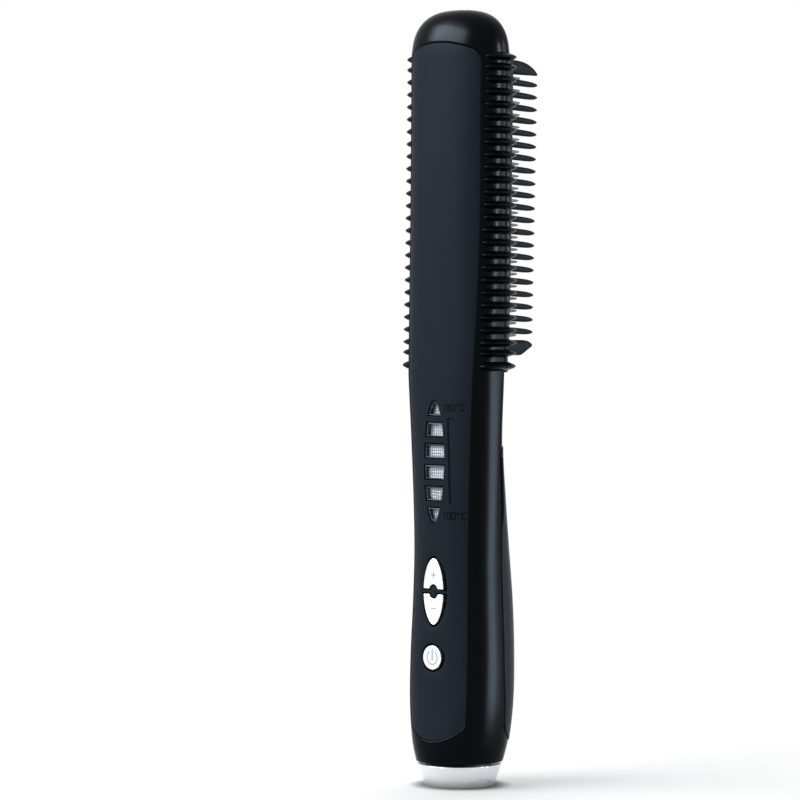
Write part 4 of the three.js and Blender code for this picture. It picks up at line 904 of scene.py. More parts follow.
# Comb frame, with the rim round the rows of teeth
RIM_SHARE, RIM_WALL, RIM_DROP, RIM_BEYOND = 0.775, 0.8, 0.6, 5.3
RIM_PROFILE = (
    (0.0, -4.5, 0), (0.0, -0.3, 0), (0.09, -0.09, 45), (0.3, 0.0, 90), (0.5, 0.0, 90), (0.71, -0.09, 135),
    (RIM_WALL, -0.3, 180), (RIM_WALL, -2.6, 180),
)


def rim_loop(beyond, inset, rows, across):
    """Outline round the teeth in x and z, which ends beyond the highest and the lowest of them."""
    z = np.linspace(LOWEST_TOOTH - beyond, HIGHEST_TOOTH + beyond, rows)
    half = half_width(z) * RIM_SHARE - inset
    x = np.linspace(1, -1, across)[1:-1]
    return two_sided(half, z, [stacked(x * half[-1], z[-1])], [stacked(-x * half[0], z[0])])


def comb_frame():
    """Back of the head with the opening for the teeth, and the neck with its screw hole."""
    piece = Piece()
    v = np.concatenate([
        np.linspace(HEAD_FOOT, DOME_FOOT, 100), np.linspace(DOME_FOOT + 0.5, DOME_FOOT + DOME_ARC, 70),
    ])
    degrees = parting_angle(v, PARTING_GAP / 2, True)
    below_crown = degrees < 89.6
    outline = mirrored(degrees[below_crown], v[below_crown], 90)
    opening = to_surface(rim_loop(RIM_BEYOND - 1.0, 0.4, 90, 30), back=True)
    skin(piece, outline, [opening], lift_on(0, True), direction_on(0, True))

    v = np.concatenate([
        np.linspace(NECK_FOOT - 6, NECK_FOOT + 0.4, 60), np.linspace(NECK_FOOT + 0.8, HEAD_FOOT + 0.4, 40),
    ])
    edge = angle_at_depth(parting_depth(v) + PARTING_GAP / 2, v)
    over_cover = angle_at_depth(np.minimum(cover_edge(v, PARTING_GAP), back_depth(v) - 0.01), v)
    kept = (over_cover - edge > 0.6) | (v > NECK_FOOT)
    v, edge, over_cover = v[kept], edge[kept], over_cover[kept]
    under = v < NECK_FOOT - 0.02
    side, low_edge = on_round(edge, v), on_round(over_cover[under], v[under])[::-1]

    def other_side(line):
        return stacked(math.pi * ROUND - line[::-1, 0], line[::-1, 1])

    neck = np.concatenate([side, other_side(side), other_side(low_edge), low_edge])
    neck = neck[np.r_[True, np.linalg.norm(np.diff(neck, axis=0), axis=1) > 1e-3]]
    skin(piece, neck, [screw_hole(NECK_SCREW)], lift_on(0), direction_on(0), radius=0.25)
    return piece


def rim():
    """Raised rim, swept round the opening of the comb frame."""
    piece = Piece()
    loop = rim_loop(RIM_BEYOND, 0.0, 60, 14)
    top = head_back(np.minimum(loop[:, 1], DOME_FOOT)) - RIM_DROP
    rings = [(offset_loop(loop, -inset), top + drop, turn) for inset, drop, turn in RIM_PROFILE]
    piece.sweep(outward(loop), rings, way=1, flip=False)
    return piece


# End cap and cord gland, turned round the axis
CAP_TOP_RADIUS, CAP_BOTTOM_RADIUS, CAP_EDGE, CAP_SLEEVE = 15.75, 13.15, 0.5, 6.0


def turned(profile, count=128):
    """Piece turned round the axis from points of radius, height and direction of the surface."""
    piece = Piece()
    turn = full_turn(count)
    rows, aims = [], []
    for radius, height, degrees in profile:
        c, s = around(degrees)
        rows.append(stacked(radius * np.cos(turn), radius * np.sin(turn), height))
        aims.append(stacked(c * np.cos(turn), c * np.sin(turn), s))
    piece.add_strip(rows, aims, flip=True)
    return piece


def end_cap():
    """Tapered ring with a rounded lower edge, the sleeve inside the collar and the hole of the gland."""
    slope = math.degrees(math.atan2(CAP_TOP_RADIUS - CAP_BOTTOM_RADIUS, CAP_HEIGHT))
    flat = CAP_BOTTOM_RADIUS - CAP_EDGE
    profile = [(7.6, 1.5, 180), (7.6, 0.25, 180), (7.75, 0.06, -135), (8.0, 0.0, -90), (flat, 0.0, -90)]
    for k in range(1, 7):
        turn = -90 + (90 - slope) * k / 6
        c, s = around(turn)
        profile.append((flat + CAP_EDGE * c, CAP_EDGE + CAP_EDGE * s, turn))
    return turned(profile + [
        ((CAP_BOTTOM_RADIUS + CAP_TOP_RADIUS) / 2 + 0.1, CAP_HEIGHT / 2, -slope),
        (CAP_TOP_RADIUS, CAP_HEIGHT - 0.08, -slope), (CAP_TOP_RADIUS - 0.06, CAP_HEIGHT, 60),
        (CAP_TOP_RADIUS - 0.15, CAP_HEIGHT, 90), (12.6, CAP_HEIGHT, 90), (12.6, CAP_HEIGHT + CAP_SLEEVE, 45),
        (11.3, CAP_HEIGHT + CAP_SLEEVE, 135), (11.3, 3.9, 135), (6.1, 3.9, 135), (6.1, 1.5, -135),
        (7.6, 1.5, -90),
    ])


def cord_gland():
    """Rubber bush with an open bore."""
    return turned([
        (3.6, 11.0, 180), (3.6, 0.9, 180), (3.75, 0.65, -135), (4.0, 0.6, -90), (7.0, 0.6, -90),
        (7.22, 0.7, -45), (7.3, 0.9, 0), (7.3, 1.2, 0), (5.8, 1.25, 90), (5.8, 4.2, 0), (7.3, 4.25, -90),
        (7.3, 5.1, 0), (5.0, 5.15, 90), (4.4, 11.0, 10), (3.6, 11.0, 90),
    ], 96)


# Windows, buttons and print
def window(index):
    """Tray of a window with its narrow rim, and the pane at its floor deep in the panel."""
    tray, pane = Piece(), Piece()
    outline = turned_left(window_outline(index, -0.2))
    inner = offset_loop(outline, -WINDOW_WALL)
    floor = offset_loop(inner, -WINDOW_TAPER)
    bottom = -float(front_depth(window_middle(index))) + WINDOW_FLOOR
    top = surface_depth(outline[:, 0], outline[:, 1], -PANEL_RECESS) + WINDOW_RIM
    tray.sweep(outward(outline), [
        (outline, top + 2, 0), (outline, top, 0), (outline, top, 90), (inner, top, 90), (inner, top, 180),
        (floor, bottom, 180),
    ])
    pane.add_flat(floor, bottom, 0.8)
    return tray, pane


def stroke(points, width, steps=6):
    """Outline of a line with round ends through points."""
    points = np.asarray(points, float)
    along = np.diff(points, axis=0)
    along /= np.linalg.norm(along, axis=1, keepdims=True)
    side = stacked(-along[:, 1], along[:, 0])
    mean = unit(np.concatenate([side[:1], (side[1:] + side[:-1]) / 2, side[-1:]]))
    left, right = points + mean * width / 2, points - mean * width / 2
    ends = []
    for centre, direction in ((points[-1], along[-1]), (points[0], -along[0])):
        start = math.atan2(direction[1], direction[0])
        turn = start + np.linspace(-math.pi / 2, math.pi / 2, steps + 2)[1:-1]
        ends.append(centre + width / 2 * stacked(np.cos(turn), np.sin(turn)))
    return turned_left(np.concatenate([right, ends[0], left[::-1], ends[1]]))


def raised(piece, outline, face, height, bevel=0.06):
    """Low raised figure on a flat face that looks to the front."""
    outline = turned_left(outline)
    inner = offset_loop(outline, -bevel)
    piece.add_flat(inner, face - height, 0.4)
    piece.sweep(unit(outline - inner), [(inner, face - height, 45), (outline, face + 0.05, 45)], flip=False)


# Drops below the crest of a button's border: its face, and the top and foot of its skirt
FACE_DROP, SKIRT_TOP, SKIRT_FOOT = 0.22, 1.6, 3.4
# The border: inset, drop and direction of the surface
BORDER = (
    (0.0, SKIRT_TOP, 0), (0.0, 0.3, 0), (0.09, 0.09, 45), (0.3, 0.0, 90), (0.55, 0.0, 90),
    (0.8, 0.12, 120), (1.0, 0.2, 100), (1.15, FACE_DROP, 90),
)
# Signs: heights of their first and second stroke, the open ring, and the arms of the plus and the minus
SIGN_RISE, SECOND_RISE = 0.06, 0.07
RING_RADIUS, RING_START, RING_END = 2.5, 125, 415
ARM, ARM_CENTRE = 1.1, 6.2


def button(name):
    """Face of a button inside a rounded raised border, its sign, and the skirt below it."""
    whole, middle, _ = BUTTONS[name]
    face, sign, skirt = Piece(), Piece(), Piece()
    crest = -(float(front_depth(middle)) - PANEL_RECESS - BUTTON_SINK)
    floor = crest + FACE_DROP
    edge = turned_left(whole(-BUTTON_INSET))
    out = outward(edge)
    rings = []
    for inset, drop, turn in BORDER:
        loop = turned_left(whole(-inset - BUTTON_INSET))
        if len(loop) != len(edge):
            loop = offset_loop(edge, -inset)
        rings.append((loop, crest + drop, turn))
    face.sweep(out, rings)
    face.add_flat(rings[-1][0], floor, 0.7)
    skirt.sweep(out, [(edge, crest + SKIRT_FOOT, 0), (edge, crest + SKIRT_TOP, 0)])
    if name == "power":
        turn = np.linspace(math.radians(RING_START), math.radians(RING_END), 40)
        ring = stacked(RING_RADIUS * np.cos(turn), POWER_CENTRE + RING_RADIUS * np.sin(turn))
        bar_ends = [(0, POWER_CENTRE - 0.9), (0, POWER_CENTRE + 3.0)]
        raised(sign, stroke(ring, 0.5), floor, SIGN_RISE)
        raised(sign, stroke(bar_ends, 0.55), floor, SECOND_RISE)
    else:
        z = TEMP_CENTRE + (ARM_CENTRE if name == "temp_up" else -ARM_CENTRE)
        raised(sign, stroke([(-ARM, z), (ARM, z)], 0.4), floor, SIGN_RISE)
    if name == "temp_up":
        raised(sign, stroke([(0, z - ARM), (0, z + ARM)], 0.4), floor, SECOND_RISE)
    return face, sign, skirt


def on_panel(piece, outline, height=0.02):
    """Thin printed figure that follows the panel's surface."""
    verts, tris = filled(turned_left(outline), [], 0.6, 0.6)
    points = panel_lift(verts, height)
    piece.add(points, tris.tolist(), body_normal(points, -PANEL_RECESS))


# Plain figures as one line each, in shares of their width and height
FIGURE_WIDTH, FIGURE_HEIGHT, FIGURE_PITCH = 1.4, 2.5, 1.75
FIGURES = {
    "0": [(0, 0.25), (0, 0.75), (0.2, 1), (0.8, 1), (1, 0.75), (1, 0.25), (0.8, 0), (0.2, 0), (0, 0.25)],
    "1": [(0.15, 0.78), (0.55, 1), (0.55, 0)],
    "8": [(0.5, 0.54), (0.12, 0.7), (0.2, 0.95), (0.8, 0.95), (0.88, 0.7), (0.5, 0.54), (0.05, 0.32),
          (0.15, 0.04), (0.85, 0.04), (0.95, 0.32), (0.5, 0.54)],
    "o": [(0.1, 0.85), (0.3, 1), (0.5, 0.85), (0.3, 0.7), (0.1, 0.85)],
    "C": [(1, 0.78), (0.75, 1), (0.25, 1), (0, 0.75), (0, 0.25), (0.25, 0), (0.75, 0), (1, 0.22)],
}


def display_print():
    """Scale line beside the windows and plain temperatures at its ends."""
    piece = Piece()
    low, high = WINDOW_CENTRE - 15.0, WINDOW_CENTRE + 16.2
    on_panel(piece, stroke([(7.5, low), (6.6, high)], 0.8))
    on_panel(piece, stroke([(6.4, high), (8.6, high)], 0.45))
    for text, z in (("180oC", high + 2.9), ("100oC", low - 6.2)):
        for k, figure in enumerate(text):
            corner = (4.6 + FIGURE_PITCH * k, z)
            line = corner + np.array(FIGURES[figure]) * (FIGURE_WIDTH, FIGURE_HEIGHT)
            for a, b in zip(line[:-1], line[1:]):
                on_panel(piece, stroke([a, b], 0.34, 3), 0.02 + 0.002 * (k % 3))
    return piece


# Ribs and teeth by Geometry Nodes
def row_tree(name, finish):
    """Copies of a piece along a row: each next one moves by a step and grows by a share of its size."""
    tree = bpy.data.node_groups.new(name, "GeometryNodeTree")
    tree.interface.new_socket("Geometry", in_out="OUTPUT", socket_type="NodeSocketGeometry")
    for label, kind in (
        ("Geometry", "Geometry"), ("Count", "Int"),
        ("First", "Vector"), ("Step", "Vector"), ("Growth", "Vector"),
    ):
        tree.interface.new_socket(label, in_out="INPUT", socket_type="NodeSocket" + kind)
    given = add_node(tree, "NodeGroupInput")
    places = {"Count": given["Count"], "Start Location": given["First"], "Offset": given["Step"]}
    line = add_node(tree, "GeometryNodeMeshLine", places, mode="OFFSET")["Mesh"]
    index = add_node(tree, "GeometryNodeInputIndex")["Index"]
    growth = {0: index, 1: given["Growth"], 2: (1, 1, 1)}
    grown = add_node(tree, "ShaderNodeVectorMath", growth, operation="MULTIPLY_ADD")["Vector"]
    each = {"Points": line, "Instance": given["Geometry"], "Scale": grown}
    copies = add_node(tree, "GeometryNodeInstanceOnPoints", each)["Instances"]
    real = add_node(tree, "GeometryNodeRealizeInstances", {"Geometry": copies})["Geometry"]
    coated = add_node(tree, "GeometryNodeSetMaterial", {"Geometry": real, "Material": finish})["Geometry"]
    add_node(tree, "NodeGroupOutput", {"Geometry": coated})
    return tree


def row_of(name, piece, finish, count, first, step, growth=(0, 0, 0)):
    """The mesh of a row of copies, made by the row tree and then kept as plain mesh."""
    source = bpy.data.objects.new(name, mesh_of(name, piece, 0.0))
    bpy.context.scene.collection.objects.link(source)
    tree = row_tree(name + " row", finish)
    modifier = source.modifiers.new("row", "NODES")
    modifier.node_group = tree
    sizes = {
        "Count": count, "First": [v * MM for v in first], "Step": [v * MM for v in step], "Growth": growth,
    }
    for item in tree.interface.items_tree:
        if item.in_out == "INPUT" and item.name in sizes:
            modifier[item.identifier] = sizes[item.name]
    bpy.context.view_layer.update()
    evaluated = source.evaluated_get(bpy.context.evaluated_depsgraph_get())
    made = bpy.data.meshes.new_from_object(evaluated)
    source.modifiers.remove(modifier)
    bpy.data.objects.remove(source)
    return made


def coordinates(mesh):
    flat = np.zeros(len(mesh.vertices) * 3)
    mesh.vertices.foreach_get("co", flat)
    return flat.reshape(-1, 3)


def joined_mesh(name, meshes):
    """One mesh from several."""
    faces, start = [], 0
    for mesh in meshes:
        faces.extend([[v + start for v in p.vertices] for p in mesh.polygons])
        start += len(mesh.vertices)
    made = bpy.data.meshes.new(name)
    made.from_pydata(np.concatenate([coordinates(mesh) for mesh in meshes]).tolist(), [], faces)
    made.update()
    made.shade_smooth()
    return made


# Ribs: angles at which they start and end, half width at the foot, depth of the root below the surface,
# and how far they stand out. The lower ones start further forward and stand out more
RIB_START, RIB_START_BELOW, RIB_END = -30.5, -3.0, 56.0
RIB_HALF, LOWEST_RIB_HALF, RIB_ROOT = 1.5, 1.75, 0.9
RIB_RISE, RIB_RISE_BELOW, RIB_BLUNT = 2.9, 0.55, 0.55
RIB_ROWS = 30
RIB_ACROSS = np.array([0, 0.07, 0.18, 0.33, 0.5, 0.68, 0.85, 1.0, 1.15, 1.3])
# The ribs are split where the housing's joint crosses a rib that starts at this angle and lies at this
# height. Each half stops this share of the rib's length short of it
MEAN_RIB_START, JOINT_HEIGHT, JOINT_SHARE = -32.0, 210.0, 0.004


def rib_profile(w, rise):
    """Height of a rib over its width: straight flanks, a rounded crest and a fillet at their foot."""
    blunt = np.sqrt(w**2 + RIB_BLUNT**2) - RIB_BLUNT * np.maximum(0, 1 - np.abs(w))
    flank = rise * (1 - blunt**1.4)
    return 0.5 * (flank + np.sqrt(flank**2 + 0.012 * rise**2)) - 0.012


def flat_rib(start, end, tapers, half):
    """One rib laid flat: x is its share of the way to the back, y its height and z its width."""
    piece = Piece()
    w = np.concatenate([-RIB_ACROSS[:0:-1], RIB_ACROSS])
    rows = []
    for s in start + (end - start) * np.linspace(0, 1, RIB_ROWS) ** 1.7:
        climb = math.sqrt(1 - (1 - min(1, max(0, s) / 0.4)) ** 2)
        fall = 1 - 0.5 * max(0, s - 0.5)
        if tapers and s > 0.8:
            fall *= math.cos(math.pi / 2 * min(1, (s - 0.8) / 0.2)) ** 0.5
        wide = half * min(1, max(0.004, s) / 0.1) ** 0.5
        crest = stacked(s, rib_profile(w, climb * fall), w * wide)
        rows.append(np.concatenate([[(s, -1.0, w[0] * wide)], crest, [(s, -1.0, w[-1] * wide)]]))
    piece.add_strip(rows)
    piece.close_ends(rows)
    return piece


def wrapped(mesh, sign, last_end):
    """Lays flat ribs round one side of the head."""
    s, height, z = coordinates(mesh).T / MM
    down = np.clip((HIGHEST_TOOTH - z) / (HIGHEST_TOOTH - LOWEST_TOOTH), 0, 1)
    first = RIB_START + RIB_START_BELOW * down
    rise = np.where(height < -0.5, -RIB_ROOT, height * (RIB_RISE + RIB_RISE_BELOW * down))
    points = body_point(first + (last_end - first) * s, np.minimum(z, DOME_FOOT), rise, True)
    points[:, 0] *= sign
    points[:, 1] += AXIS_DEPTH
    points[:, 2] = z
    mesh.vertices.foreach_set("co", (points * MM).reshape(-1))
    if sign < 0:
        mesh.flip_normals()
    mesh.update()
    return mesh


# Rows of ribs: height of the first, count, whether they taper to the back, half width and end angle
RIB_KINDS = (
    (HIGHEST_TOOTH, TOOTH_COUNT, False, RIB_HALF, RIB_END),
    (HIGHEST_TOOTH + 3.9, 1, True, RIB_HALF, 54),
    (LOWEST_TOOTH - 3.9, 1, True, RIB_HALF, 52),
    (LOWEST_TOOTH - 8.7, 1, True, LOWEST_RIB_HALF, 38),
)


def side_ribs(front):
    """All ribs of both sides: their front halves, or the halves on the comb frame."""
    name, finish = ("front_rib", gloss_black) if front else ("rear_rib", frame_black)
    joint = float(parting_angle(JOINT_HEIGHT, 0.0, True))
    share = (joint - MEAN_RIB_START) / (RIB_END - MEAN_RIB_START)
    start, end = (0.0, share - JOINT_SHARE) if front else (share + JOINT_SHARE, 1.0)
    meshes = []
    for sign in (1, -1):
        for z, count, tapers, half, last_end in RIB_KINDS:
            piece = flat_rib(start, end, tapers, half)
            row = row_of(name, piece, finish, count, (0, 0, z), (0, 0, -TOOTH_PITCH))
            meshes.append(wrapped(row, sign, last_end))
    return joined_mesh(name + "s", meshes)


# Teeth: width of a rail, heights of its foot and of the plate, gap beside the rows, depth of the roots
# in the back of the head, and the shares of a tooth's length at which its section is given
RAIL_WIDTH, RAIL_FOOT, PLATE_TOP, ROW_GAP = 4.1, 8.2, 7.9, 0.3
GUARD_SINK, HEATED_SINK = 1.6, 1.9
# How far the highest and the lowest tooth of a row stand out from the back of the head
GUARD_REACHES, HEATED_REACHES = (15.62, 14.98), (20.4, 19.5)
# The plate below the heated teeth: half width and foot
BASE_HALF, BASE_FOOT = 14.2, 4.9
TOOTH_SHARES = (0, 0.15, 0.3, 0.45, 0.6, 0.72, 0.82, 0.9, 0.96, 1.0)


def back_at(z):
    return float(head_back(min(z, DOME_FOOT)))


def row_side(z):
    """Distance of a guard row from the middle."""
    return float(half_width(z) * RIM_SHARE - RIM_WALL - ROW_GAP - RAIL_WIDTH / 2)


def tooth(length, root_width, tip_width, top, bottom, nose=0.4, shares=TOOTH_SHARES, slope=0.8):
    """One tooth at height 0: a rounded section that runs back from its root and narrows to its tip."""
    piece = Piece()
    turn = full_turn(20)
    c, s = np.cos(turn), np.sin(turn)
    rows = []
    for share in shares:
        half = (root_width + (tip_width - root_width) * share**slope) / 2
        high, low = top(share), bottom(share)
        x = half * np.sign(c) * np.abs(c) ** 0.75
        z = (high + low) / 2 + (high - low) / 2 * np.sign(s) * np.abs(s) ** 0.75
        rows.append(stacked(x, length * share, z))
    last = rows[-1]
    middle = last.mean(0)
    for inset, reach in ((0.72, 0.55), (0.35, 0.9), (0.03, 1.0)):
        ring = middle + (last - middle) * inset
        ring[:, 1] = last[0, 1] + nose * reach
        rows.append(ring)
    piece.add_strip(rows)
    piece.faces.append(list(range(piece.count - len(turn), piece.count))[::-1])
    return piece


def tooth_row(name, finish, count, sink, reaches, side, shape):
    """Row of teeth down the head, whose roots and tips follow its back. Side tells how far from the
    middle the row is at a height, and shape makes a tooth of a length."""
    inset = (TOOTH_COUNT - count) / 2 * TOOTH_PITCH
    first, last = HIGHEST_TOOTH - inset, LOWEST_TOOTH + inset
    root, last_root = back_at(first) - sink, back_at(last) - sink
    length, last_length = (reach + sink for reach in reaches)
    gaps = count - 1
    place = (side(first), AXIS_DEPTH + root, first)
    step = ((side(last) - side(first)) / gaps, (last_root - root) / gaps, -TOOTH_PITCH)
    growth = (0, (last_length / length - 1) / gaps, 0)
    return row_of(name, shape(length), finish, count, place, step, growth)


def rounded_top(x, half, foot, top, edge):
    """Section of a bar with rounded upper edges, in x and depth."""
    side = [(half, foot), (half, top - edge), (half - 0.3 * edge, top - 0.3 * edge), (half - edge, top)]
    return [(x - w, y) for w, y in side] + [(x + w, y) for w, y in side[::-1]]


def bar(section, beyond, count=24):
    """Closed bar down the head through its section at each height."""
    piece = Piece()
    heights = np.linspace(LOWEST_TOOTH - beyond, HIGHEST_TOOTH + beyond, count)
    rows = [[(x, y, z) for x, y in section(z)] for z in heights]
    piece.add_strip(rows)
    piece.close_ends(rows)
    return mesh_of("bar", piece)


def guard_bullet(s):
    return 1.3 * math.sqrt(1 - 0.85 * s**9) * (1 - 0.16 * s)


def guard_droop(s):
    return 0.1 - 1.05 * s


def fin_slant(s):
    """Rise of the lowest fin's underside: flat, then a straight slant after a soft bend."""
    return 4.6 * (s - 0.66 + math.sqrt((s - 0.66) ** 2 + 0.0012))


# End fins of a guard row: height, reach, top and bottom of the fin and the shares of its length
FINS = (
    (HIGHEST_TOOTH, 15.6, lambda s: -1.7 + 5.3 * max(0, 1 - (0.985 * s) ** 3) ** 0.7, lambda s: -2.0,
     (0, 0.12, 0.25, 0.38, 0.5, 0.6, 0.7, 0.78, 0.85, 0.91, 0.95, 0.98, 1)),
    (LOWEST_TOOTH, 14.9, lambda s: 1.0 - 0.3 * s - 1.3 * s**12,
     lambda s: -5.0 + (1.6 if s < 0.1 else 0) + fin_slant(s),
     (0, 0.09, 0.11, 0.3, 0.5, 0.6, 0.64, 0.72, 0.8, 0.87, 0.93, 0.97, 1)),
)


def guard_comb(sign):
    """Rail and teeth of one guard row."""
    wide, tip = RAIL_WIDTH - 0.1, 1.9

    def side(z):
        return sign * row_side(z)

    def top(s):
        return guard_droop(s) + guard_bullet(s)

    def bottom(s):
        return guard_droop(s) - guard_bullet(s)

    def one(length):
        return tooth(length, wide, tip, top, bottom, 0.15)

    count = TOOTH_COUNT - len(FINS)
    meshes = [tooth_row("guard_tooth", tooth_slate, count, GUARD_SINK, GUARD_REACHES, side, one)]
    for z, reach, fin_top, fin_bottom, shares in FINS:
        fin = tooth(reach + GUARD_SINK, wide, tip, fin_top, fin_bottom, 0.2, shares)
        place = (side(z), AXIS_DEPTH + back_at(z) - GUARD_SINK, z)
        meshes.append(row_of("guard_fin", fin, tooth_slate, 1, place, (0, 0, 0)))

    def rail(z):
        return rounded_top(side(z), RAIL_WIDTH / 2, RAIL_FOOT, back_at(z) - RIM_DROP, 0.5)

    meshes.append(bar(rail, 4))
    return joined_mesh("guard_row", meshes)


def heated_row():
    """Plate with its raised middle and the row of heated teeth."""
    def thick(s):
        return 1.15 * (1 - 0.6 * s**3)

    def one(length):
        return tooth(length, 10.0, 3.2, thick, lambda s: -thick(s))

    def middle_bar(z):
        half = row_side(z) - RAIL_WIDTH / 2 - ROW_GAP
        return rounded_top(0, half, PLATE_TOP - 0.5, back_at(z) - RIM_DROP - 0.5, 0.4)

    def base(_):
        foot, top = (BASE_HALF, BASE_FOOT), (BASE_HALF, PLATE_TOP)
        return [(-x, y) for x, y in (foot, top)] + [top, foot]

    count = TOOTH_COUNT - 1
    teeth = tooth_row(
        "heated_tooth", heated_metal, count, HEATED_SINK, HEATED_REACHES, lambda _: 0.0, one,
    )
    return joined_mesh("heated_row", [teeth, bar(middle_bar, 3), bar(base, 3, 2)])


# Dress of the frame
for name, piece, finish, slot, replaced in (
    ("housing_front", front_shell(), gloss_black, "gloss_housing", ["front_shell"]),
    ("panel_floor", pocket_floor(), well_painted_shade, "gloss_housing", []),
    ("panel_skin", front_panel(), panel_black, "matte_panel", ["front_panel"]),
    ("comb_back", comb_frame(), frame_black, "gloss_housing", ["comb_frame"]),
    ("comb_rim", rim(), frame_black, "gloss_housing", []),
    ("grip_cover", rear_cover(), grip_black, "grip", ["rear_cover"]),
    ("slot_floor_right", slot_floor(1), grip_black, "grip", []),
    ("slot_floor_left", slot_floor(-1), grip_black, "grip", []),
    ("cap_shell", end_cap(), cap_silver, "silver_cap", ["end_cap"]),
    ("gland_bush", cord_gland(), rubber_black, "gland", ["cord_gland"]),
):
    put(name, piece, finish, slot, replaced)
for i in range(WINDOW_COUNT):
    tray, pane = window(i)
    # The tray's rim and walls are painted shade in the darker cell finish
    put(f"window_tray_{i + 1}", tray, window_wall_painted_shade, "window")
    put(f"window_pane_{i + 1}", pane, window_grey, "window", [f"display_window_{i + 1}"])
for key, (_, _, ride_on) in BUTTONS.items():
    face, sign, skirt = button(key)
    put(f"{key}_face", face, button_silver, "silver_button", [f"button_{key}"], ride_on)
    put(f"{key}_sign", sign, sign_grey, "silver_button", body=ride_on)
    # The skirt takes the near-black finish as painted shade in the gap round the button
    put(f"{key}_skirt", skirt, well_painted_shade, "silver_button", body=ride_on)
put("scale_print", display_print(), print_grey, "matte_panel")
keep_mesh("ribs_front", side_ribs(True), gloss_black, "gloss_housing")
keep_mesh("ribs_rear", side_ribs(False), frame_black, "gloss_housing")
keep_mesh("guard_row_right", guard_comb(1), tooth_slate, "guard", ["guard_comb_right"])
keep_mesh("guard_row_left", guard_comb(-1), tooth_slate, "guard", ["guard_comb_left"])
keep_mesh("heated_teeth", heated_row(), heated_metal, "heated", ["heat_plate"])

# Finish of each inner piece, by the first of these words that is in its name
INNER_FINISHES = (
    ("led_", led_white), ("heater_lead", lead_red), ("control_board", board_green),
    ("heater_strip", ceramic_white), ("temperature_sensor", ceramic_white), ("insulation_sheet", mica_tan),
    ("mains_capacitor", capacitor_tan), ("screw", screw_steel), ("heater_clamp", screw_steel),
    ("thermal_fuse", screw_steel), ("", part_black),
)
for name, node in nodes.items():
    if not node.hide_render:
        node.data.materials.clear()
        node.data.materials.append(next(finish for word, finish in INNER_FINISHES if word in name))


# Floor, light and camera
def pale_floor():
    """Floor that is white and opaque round the object and fades into the white surroundings. Its colour
    darkens round the foot of the end cap in a painted contact shadow."""
    size = 1.2
    corners = [(-size, -size, 0), (size, -size, 0), (size, size, 0), (-size, size, 0)]
    mesh = bpy.data.meshes.new("pale floor")
    mesh.from_pydata(corners, [], [(0, 1, 2, 3)])
    floor = bpy.data.objects.new("pale_floor", mesh)
    bpy.context.scene.collection.objects.link(floor)
    material, tree, shader = new_finish("pale floor")
    place = add_node(tree, "ShaderNodeTexCoord")["Object"]
    foot = {0: place, 1: (0, AXIS_DEPTH * MM, 0)}
    from_foot = add_node(tree, "ShaderNodeVectorMath", foot, operation="DISTANCE")["Value"]
    # Painted contact shadow: the floor's colour and glow darken towards the foot of the end cap
    painted_shadow = ramp(tree, from_foot, 0.012, 0.022, 0.25, kind="SMOOTHERSTEP")
    path = add_node(tree, "ShaderNodeLightPath")
    seen = calc(tree, "MAXIMUM", path["Is Camera Ray"], path["Is Glossy Ray"])
    connect(tree, shader, {
        "Base Color": blend(tree, painted_shadow, (0, 0, 0, 1), (0.88, 0.88, 0.88, 1)),
        "Roughness": 0.6,
        "Specular IOR Level": 0.0,
        "Emission Color": (1, 1, 1, 1),
        "Emission Strength": calc(tree, "MULTIPLY", calc(tree, "MULTIPLY", seen, 0.06), painted_shadow),
    })
    reach = add_node(tree, "ShaderNodeVectorMath", {0: place}, operation="LENGTH")["Value"]
    fade = ramp(tree, reach, 0.06, 0.22, kind="SMOOTHSTEP")
    clear = add_node(tree, "ShaderNodeBsdfTransparent")["BSDF"]
    either = {"Fac": fade, 1: shader.outputs["BSDF"], 2: clear}
    output = next(node for node in tree.nodes if node.type == "OUTPUT_MATERIAL")
    connect(tree, output, {"Surface": add_node(tree, "ShaderNodeMixShader", either)["Shader"]})
    floor.data.materials.append(material)


def studio_world():
    """White surroundings for the camera and for reflections, and a plain soft light on the object."""
    world = bpy.data.worlds.new("studio")
    bpy.context.scene.world = world
    world.use_nodes = True
    tree = world.node_tree
    tree.nodes.clear()
    white = {"Color": (1, 1, 1, 1), "Strength": 1.0}
    soft = {"Color": (0.96, 0.98, 1, 1), "Strength": 0.4}
    path = add_node(tree, "ShaderNodeLightPath")
    seen = calc(tree, "MAXIMUM", path["Is Camera Ray"], path["Is Glossy Ray"])
    pick = add_node(tree, "ShaderNodeMixShader", {
        "Fac": calc(tree, "MAXIMUM", seen, path["Is Transmission Ray"]),
        1: add_node(tree, "ShaderNodeBackground", soft)["Background"],
        2: add_node(tree, "ShaderNodeBackground", white)["Background"],
    })
    add_node(tree, "ShaderNodeOutputWorld", {"Surface": pick["Shader"]})


AZIMUTH = math.radians(42)
METRES_PER_PIXEL = 0.3747e-3
CAMERA_DISTANCE, CAMERA_HEIGHT = 1.377, 0.1897
AXIS_PIXEL, HORIZON_PIXEL, FRAME_PIXELS = 460.7, 278.0, 800
LEAN = math.radians(0.147)
toward = Vector((math.sin(AZIMUTH), -math.cos(AZIMUTH), 0))
right = Vector((math.cos(AZIMUTH), math.sin(AZIMUTH), 0))
axis = Vector((0, AXIS_DEPTH * MM, 0))
middle = axis + Vector((0, 0, 0.15))


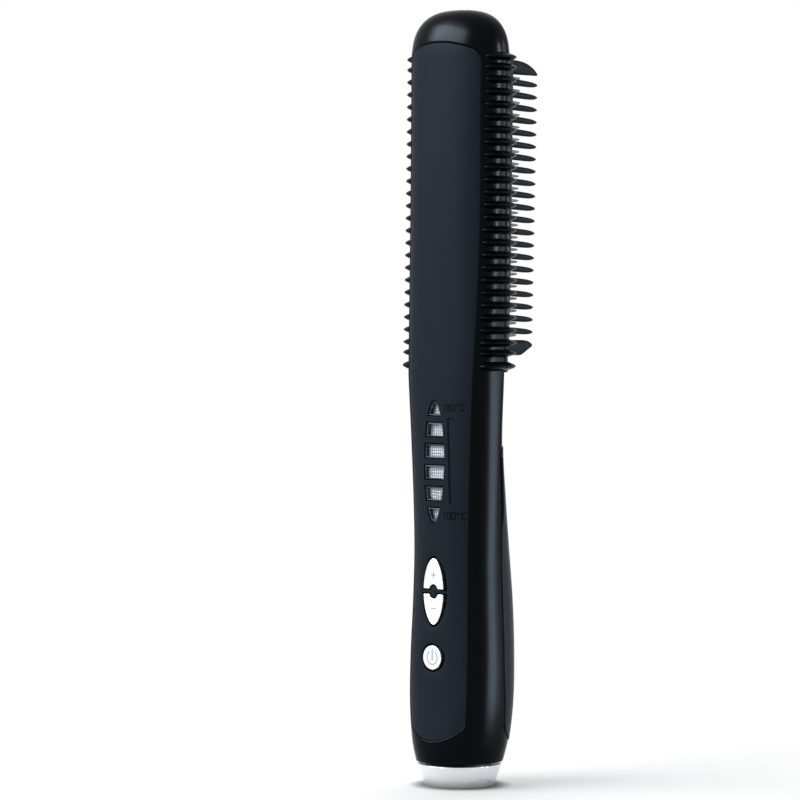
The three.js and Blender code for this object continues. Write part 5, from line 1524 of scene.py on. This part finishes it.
def softbox(name, turn, rise, distance, width, height, radiance, shown="both"):
    """Softbox at a turn from the camera, to its right, and a rise above the middle of the object. It is
    shown in gloss, as light, or both."""
    turn, rise = math.radians(turn), math.radians(rise)
    ahead = toward * math.cos(turn) + right * math.sin(turn)
    data = bpy.data.lights.new(name, "AREA")
    data.shape = "RECTANGLE"
    data.size, data.size_y = width, height
    data.energy = radiance * math.pi * width * height
    lamp = bpy.data.objects.new(name, data)
    lamp.location = middle + (ahead * math.cos(rise) + Vector((0, 0, math.sin(rise)))) * distance
    lamp.rotation_mode = "QUATERNION"
    lamp.rotation_quaternion = (middle - lamp.location).to_track_quat("-Z", "Y")
    lamp.visible_diffuse = shown != "gloss"
    lamp.visible_glossy = shown != "light"
    if shown == "gloss":
        data.color = (0.7, 0.85, 1.0)
        data.use_nodes = True
        tree = data.node_tree
        tree.nodes.clear()
        bounces = add_node(tree, "ShaderNodeLightPath")["Diffuse Depth"]
        glow = add_node(tree, "ShaderNodeEmission", {"Strength": calc(tree, "LESS_THAN", bounces, 0.5)})
        add_node(tree, "ShaderNodeOutputLight", {"Surface": glow["Emission"]})
    bpy.context.scene.collection.objects.link(lamp)


studio_world()
pale_floor()
softbox("left softbox", -75, 38, 0.9, 0.7, 0.7, 4.0)
softbox("left reflection", -70, 34, 1.1, 0.95, 0.5, 30, "gloss")
softbox("handle reflection", 82, -14.6, 1.03, 0.42, 0.47, 24, "gloss")
softbox("head reflection", 74, 12, 1.02, 0.11, 0.47, 90, "gloss")
softbox("rear head reflection", 100, 12, 1.02, 0.09, 0.47, 26, "gloss")
softbox("top softbox", 180, 76, 1.1, 0.6, 0.6, 6.5, "light")

camera_data = bpy.data.cameras.new("camera")
camera_data.sensor_width = 36
camera_data.sensor_fit = "HORIZONTAL"
camera_data.lens = camera_data.sensor_width / FRAME_PIXELS / METRES_PER_PIXEL * CAMERA_DISTANCE
camera = bpy.data.objects.new("camera", camera_data)
camera.location = axis + toward * CAMERA_DISTANCE + Vector((0, 0, CAMERA_HEIGHT))
camera.rotation_mode = "QUATERNION"
level = (-toward).to_track_quat("-Z", "Y")
camera.rotation_quaternion = level @ Quaternion((0, 0, 1), LEAN)
camera_data.shift_x = (FRAME_PIXELS / 2 - AXIS_PIXEL) / FRAME_PIXELS
camera_data.shift_y = (HORIZON_PIXEL - FRAME_PIXELS / 2) / FRAME_PIXELS
camera_data.clip_start, camera_data.clip_end = 0.05, 20
bpy.context.scene.collection.objects.link(camera)
bpy.context.scene.camera = camera
bpy.context.scene.view_settings.view_transform = "Standard"
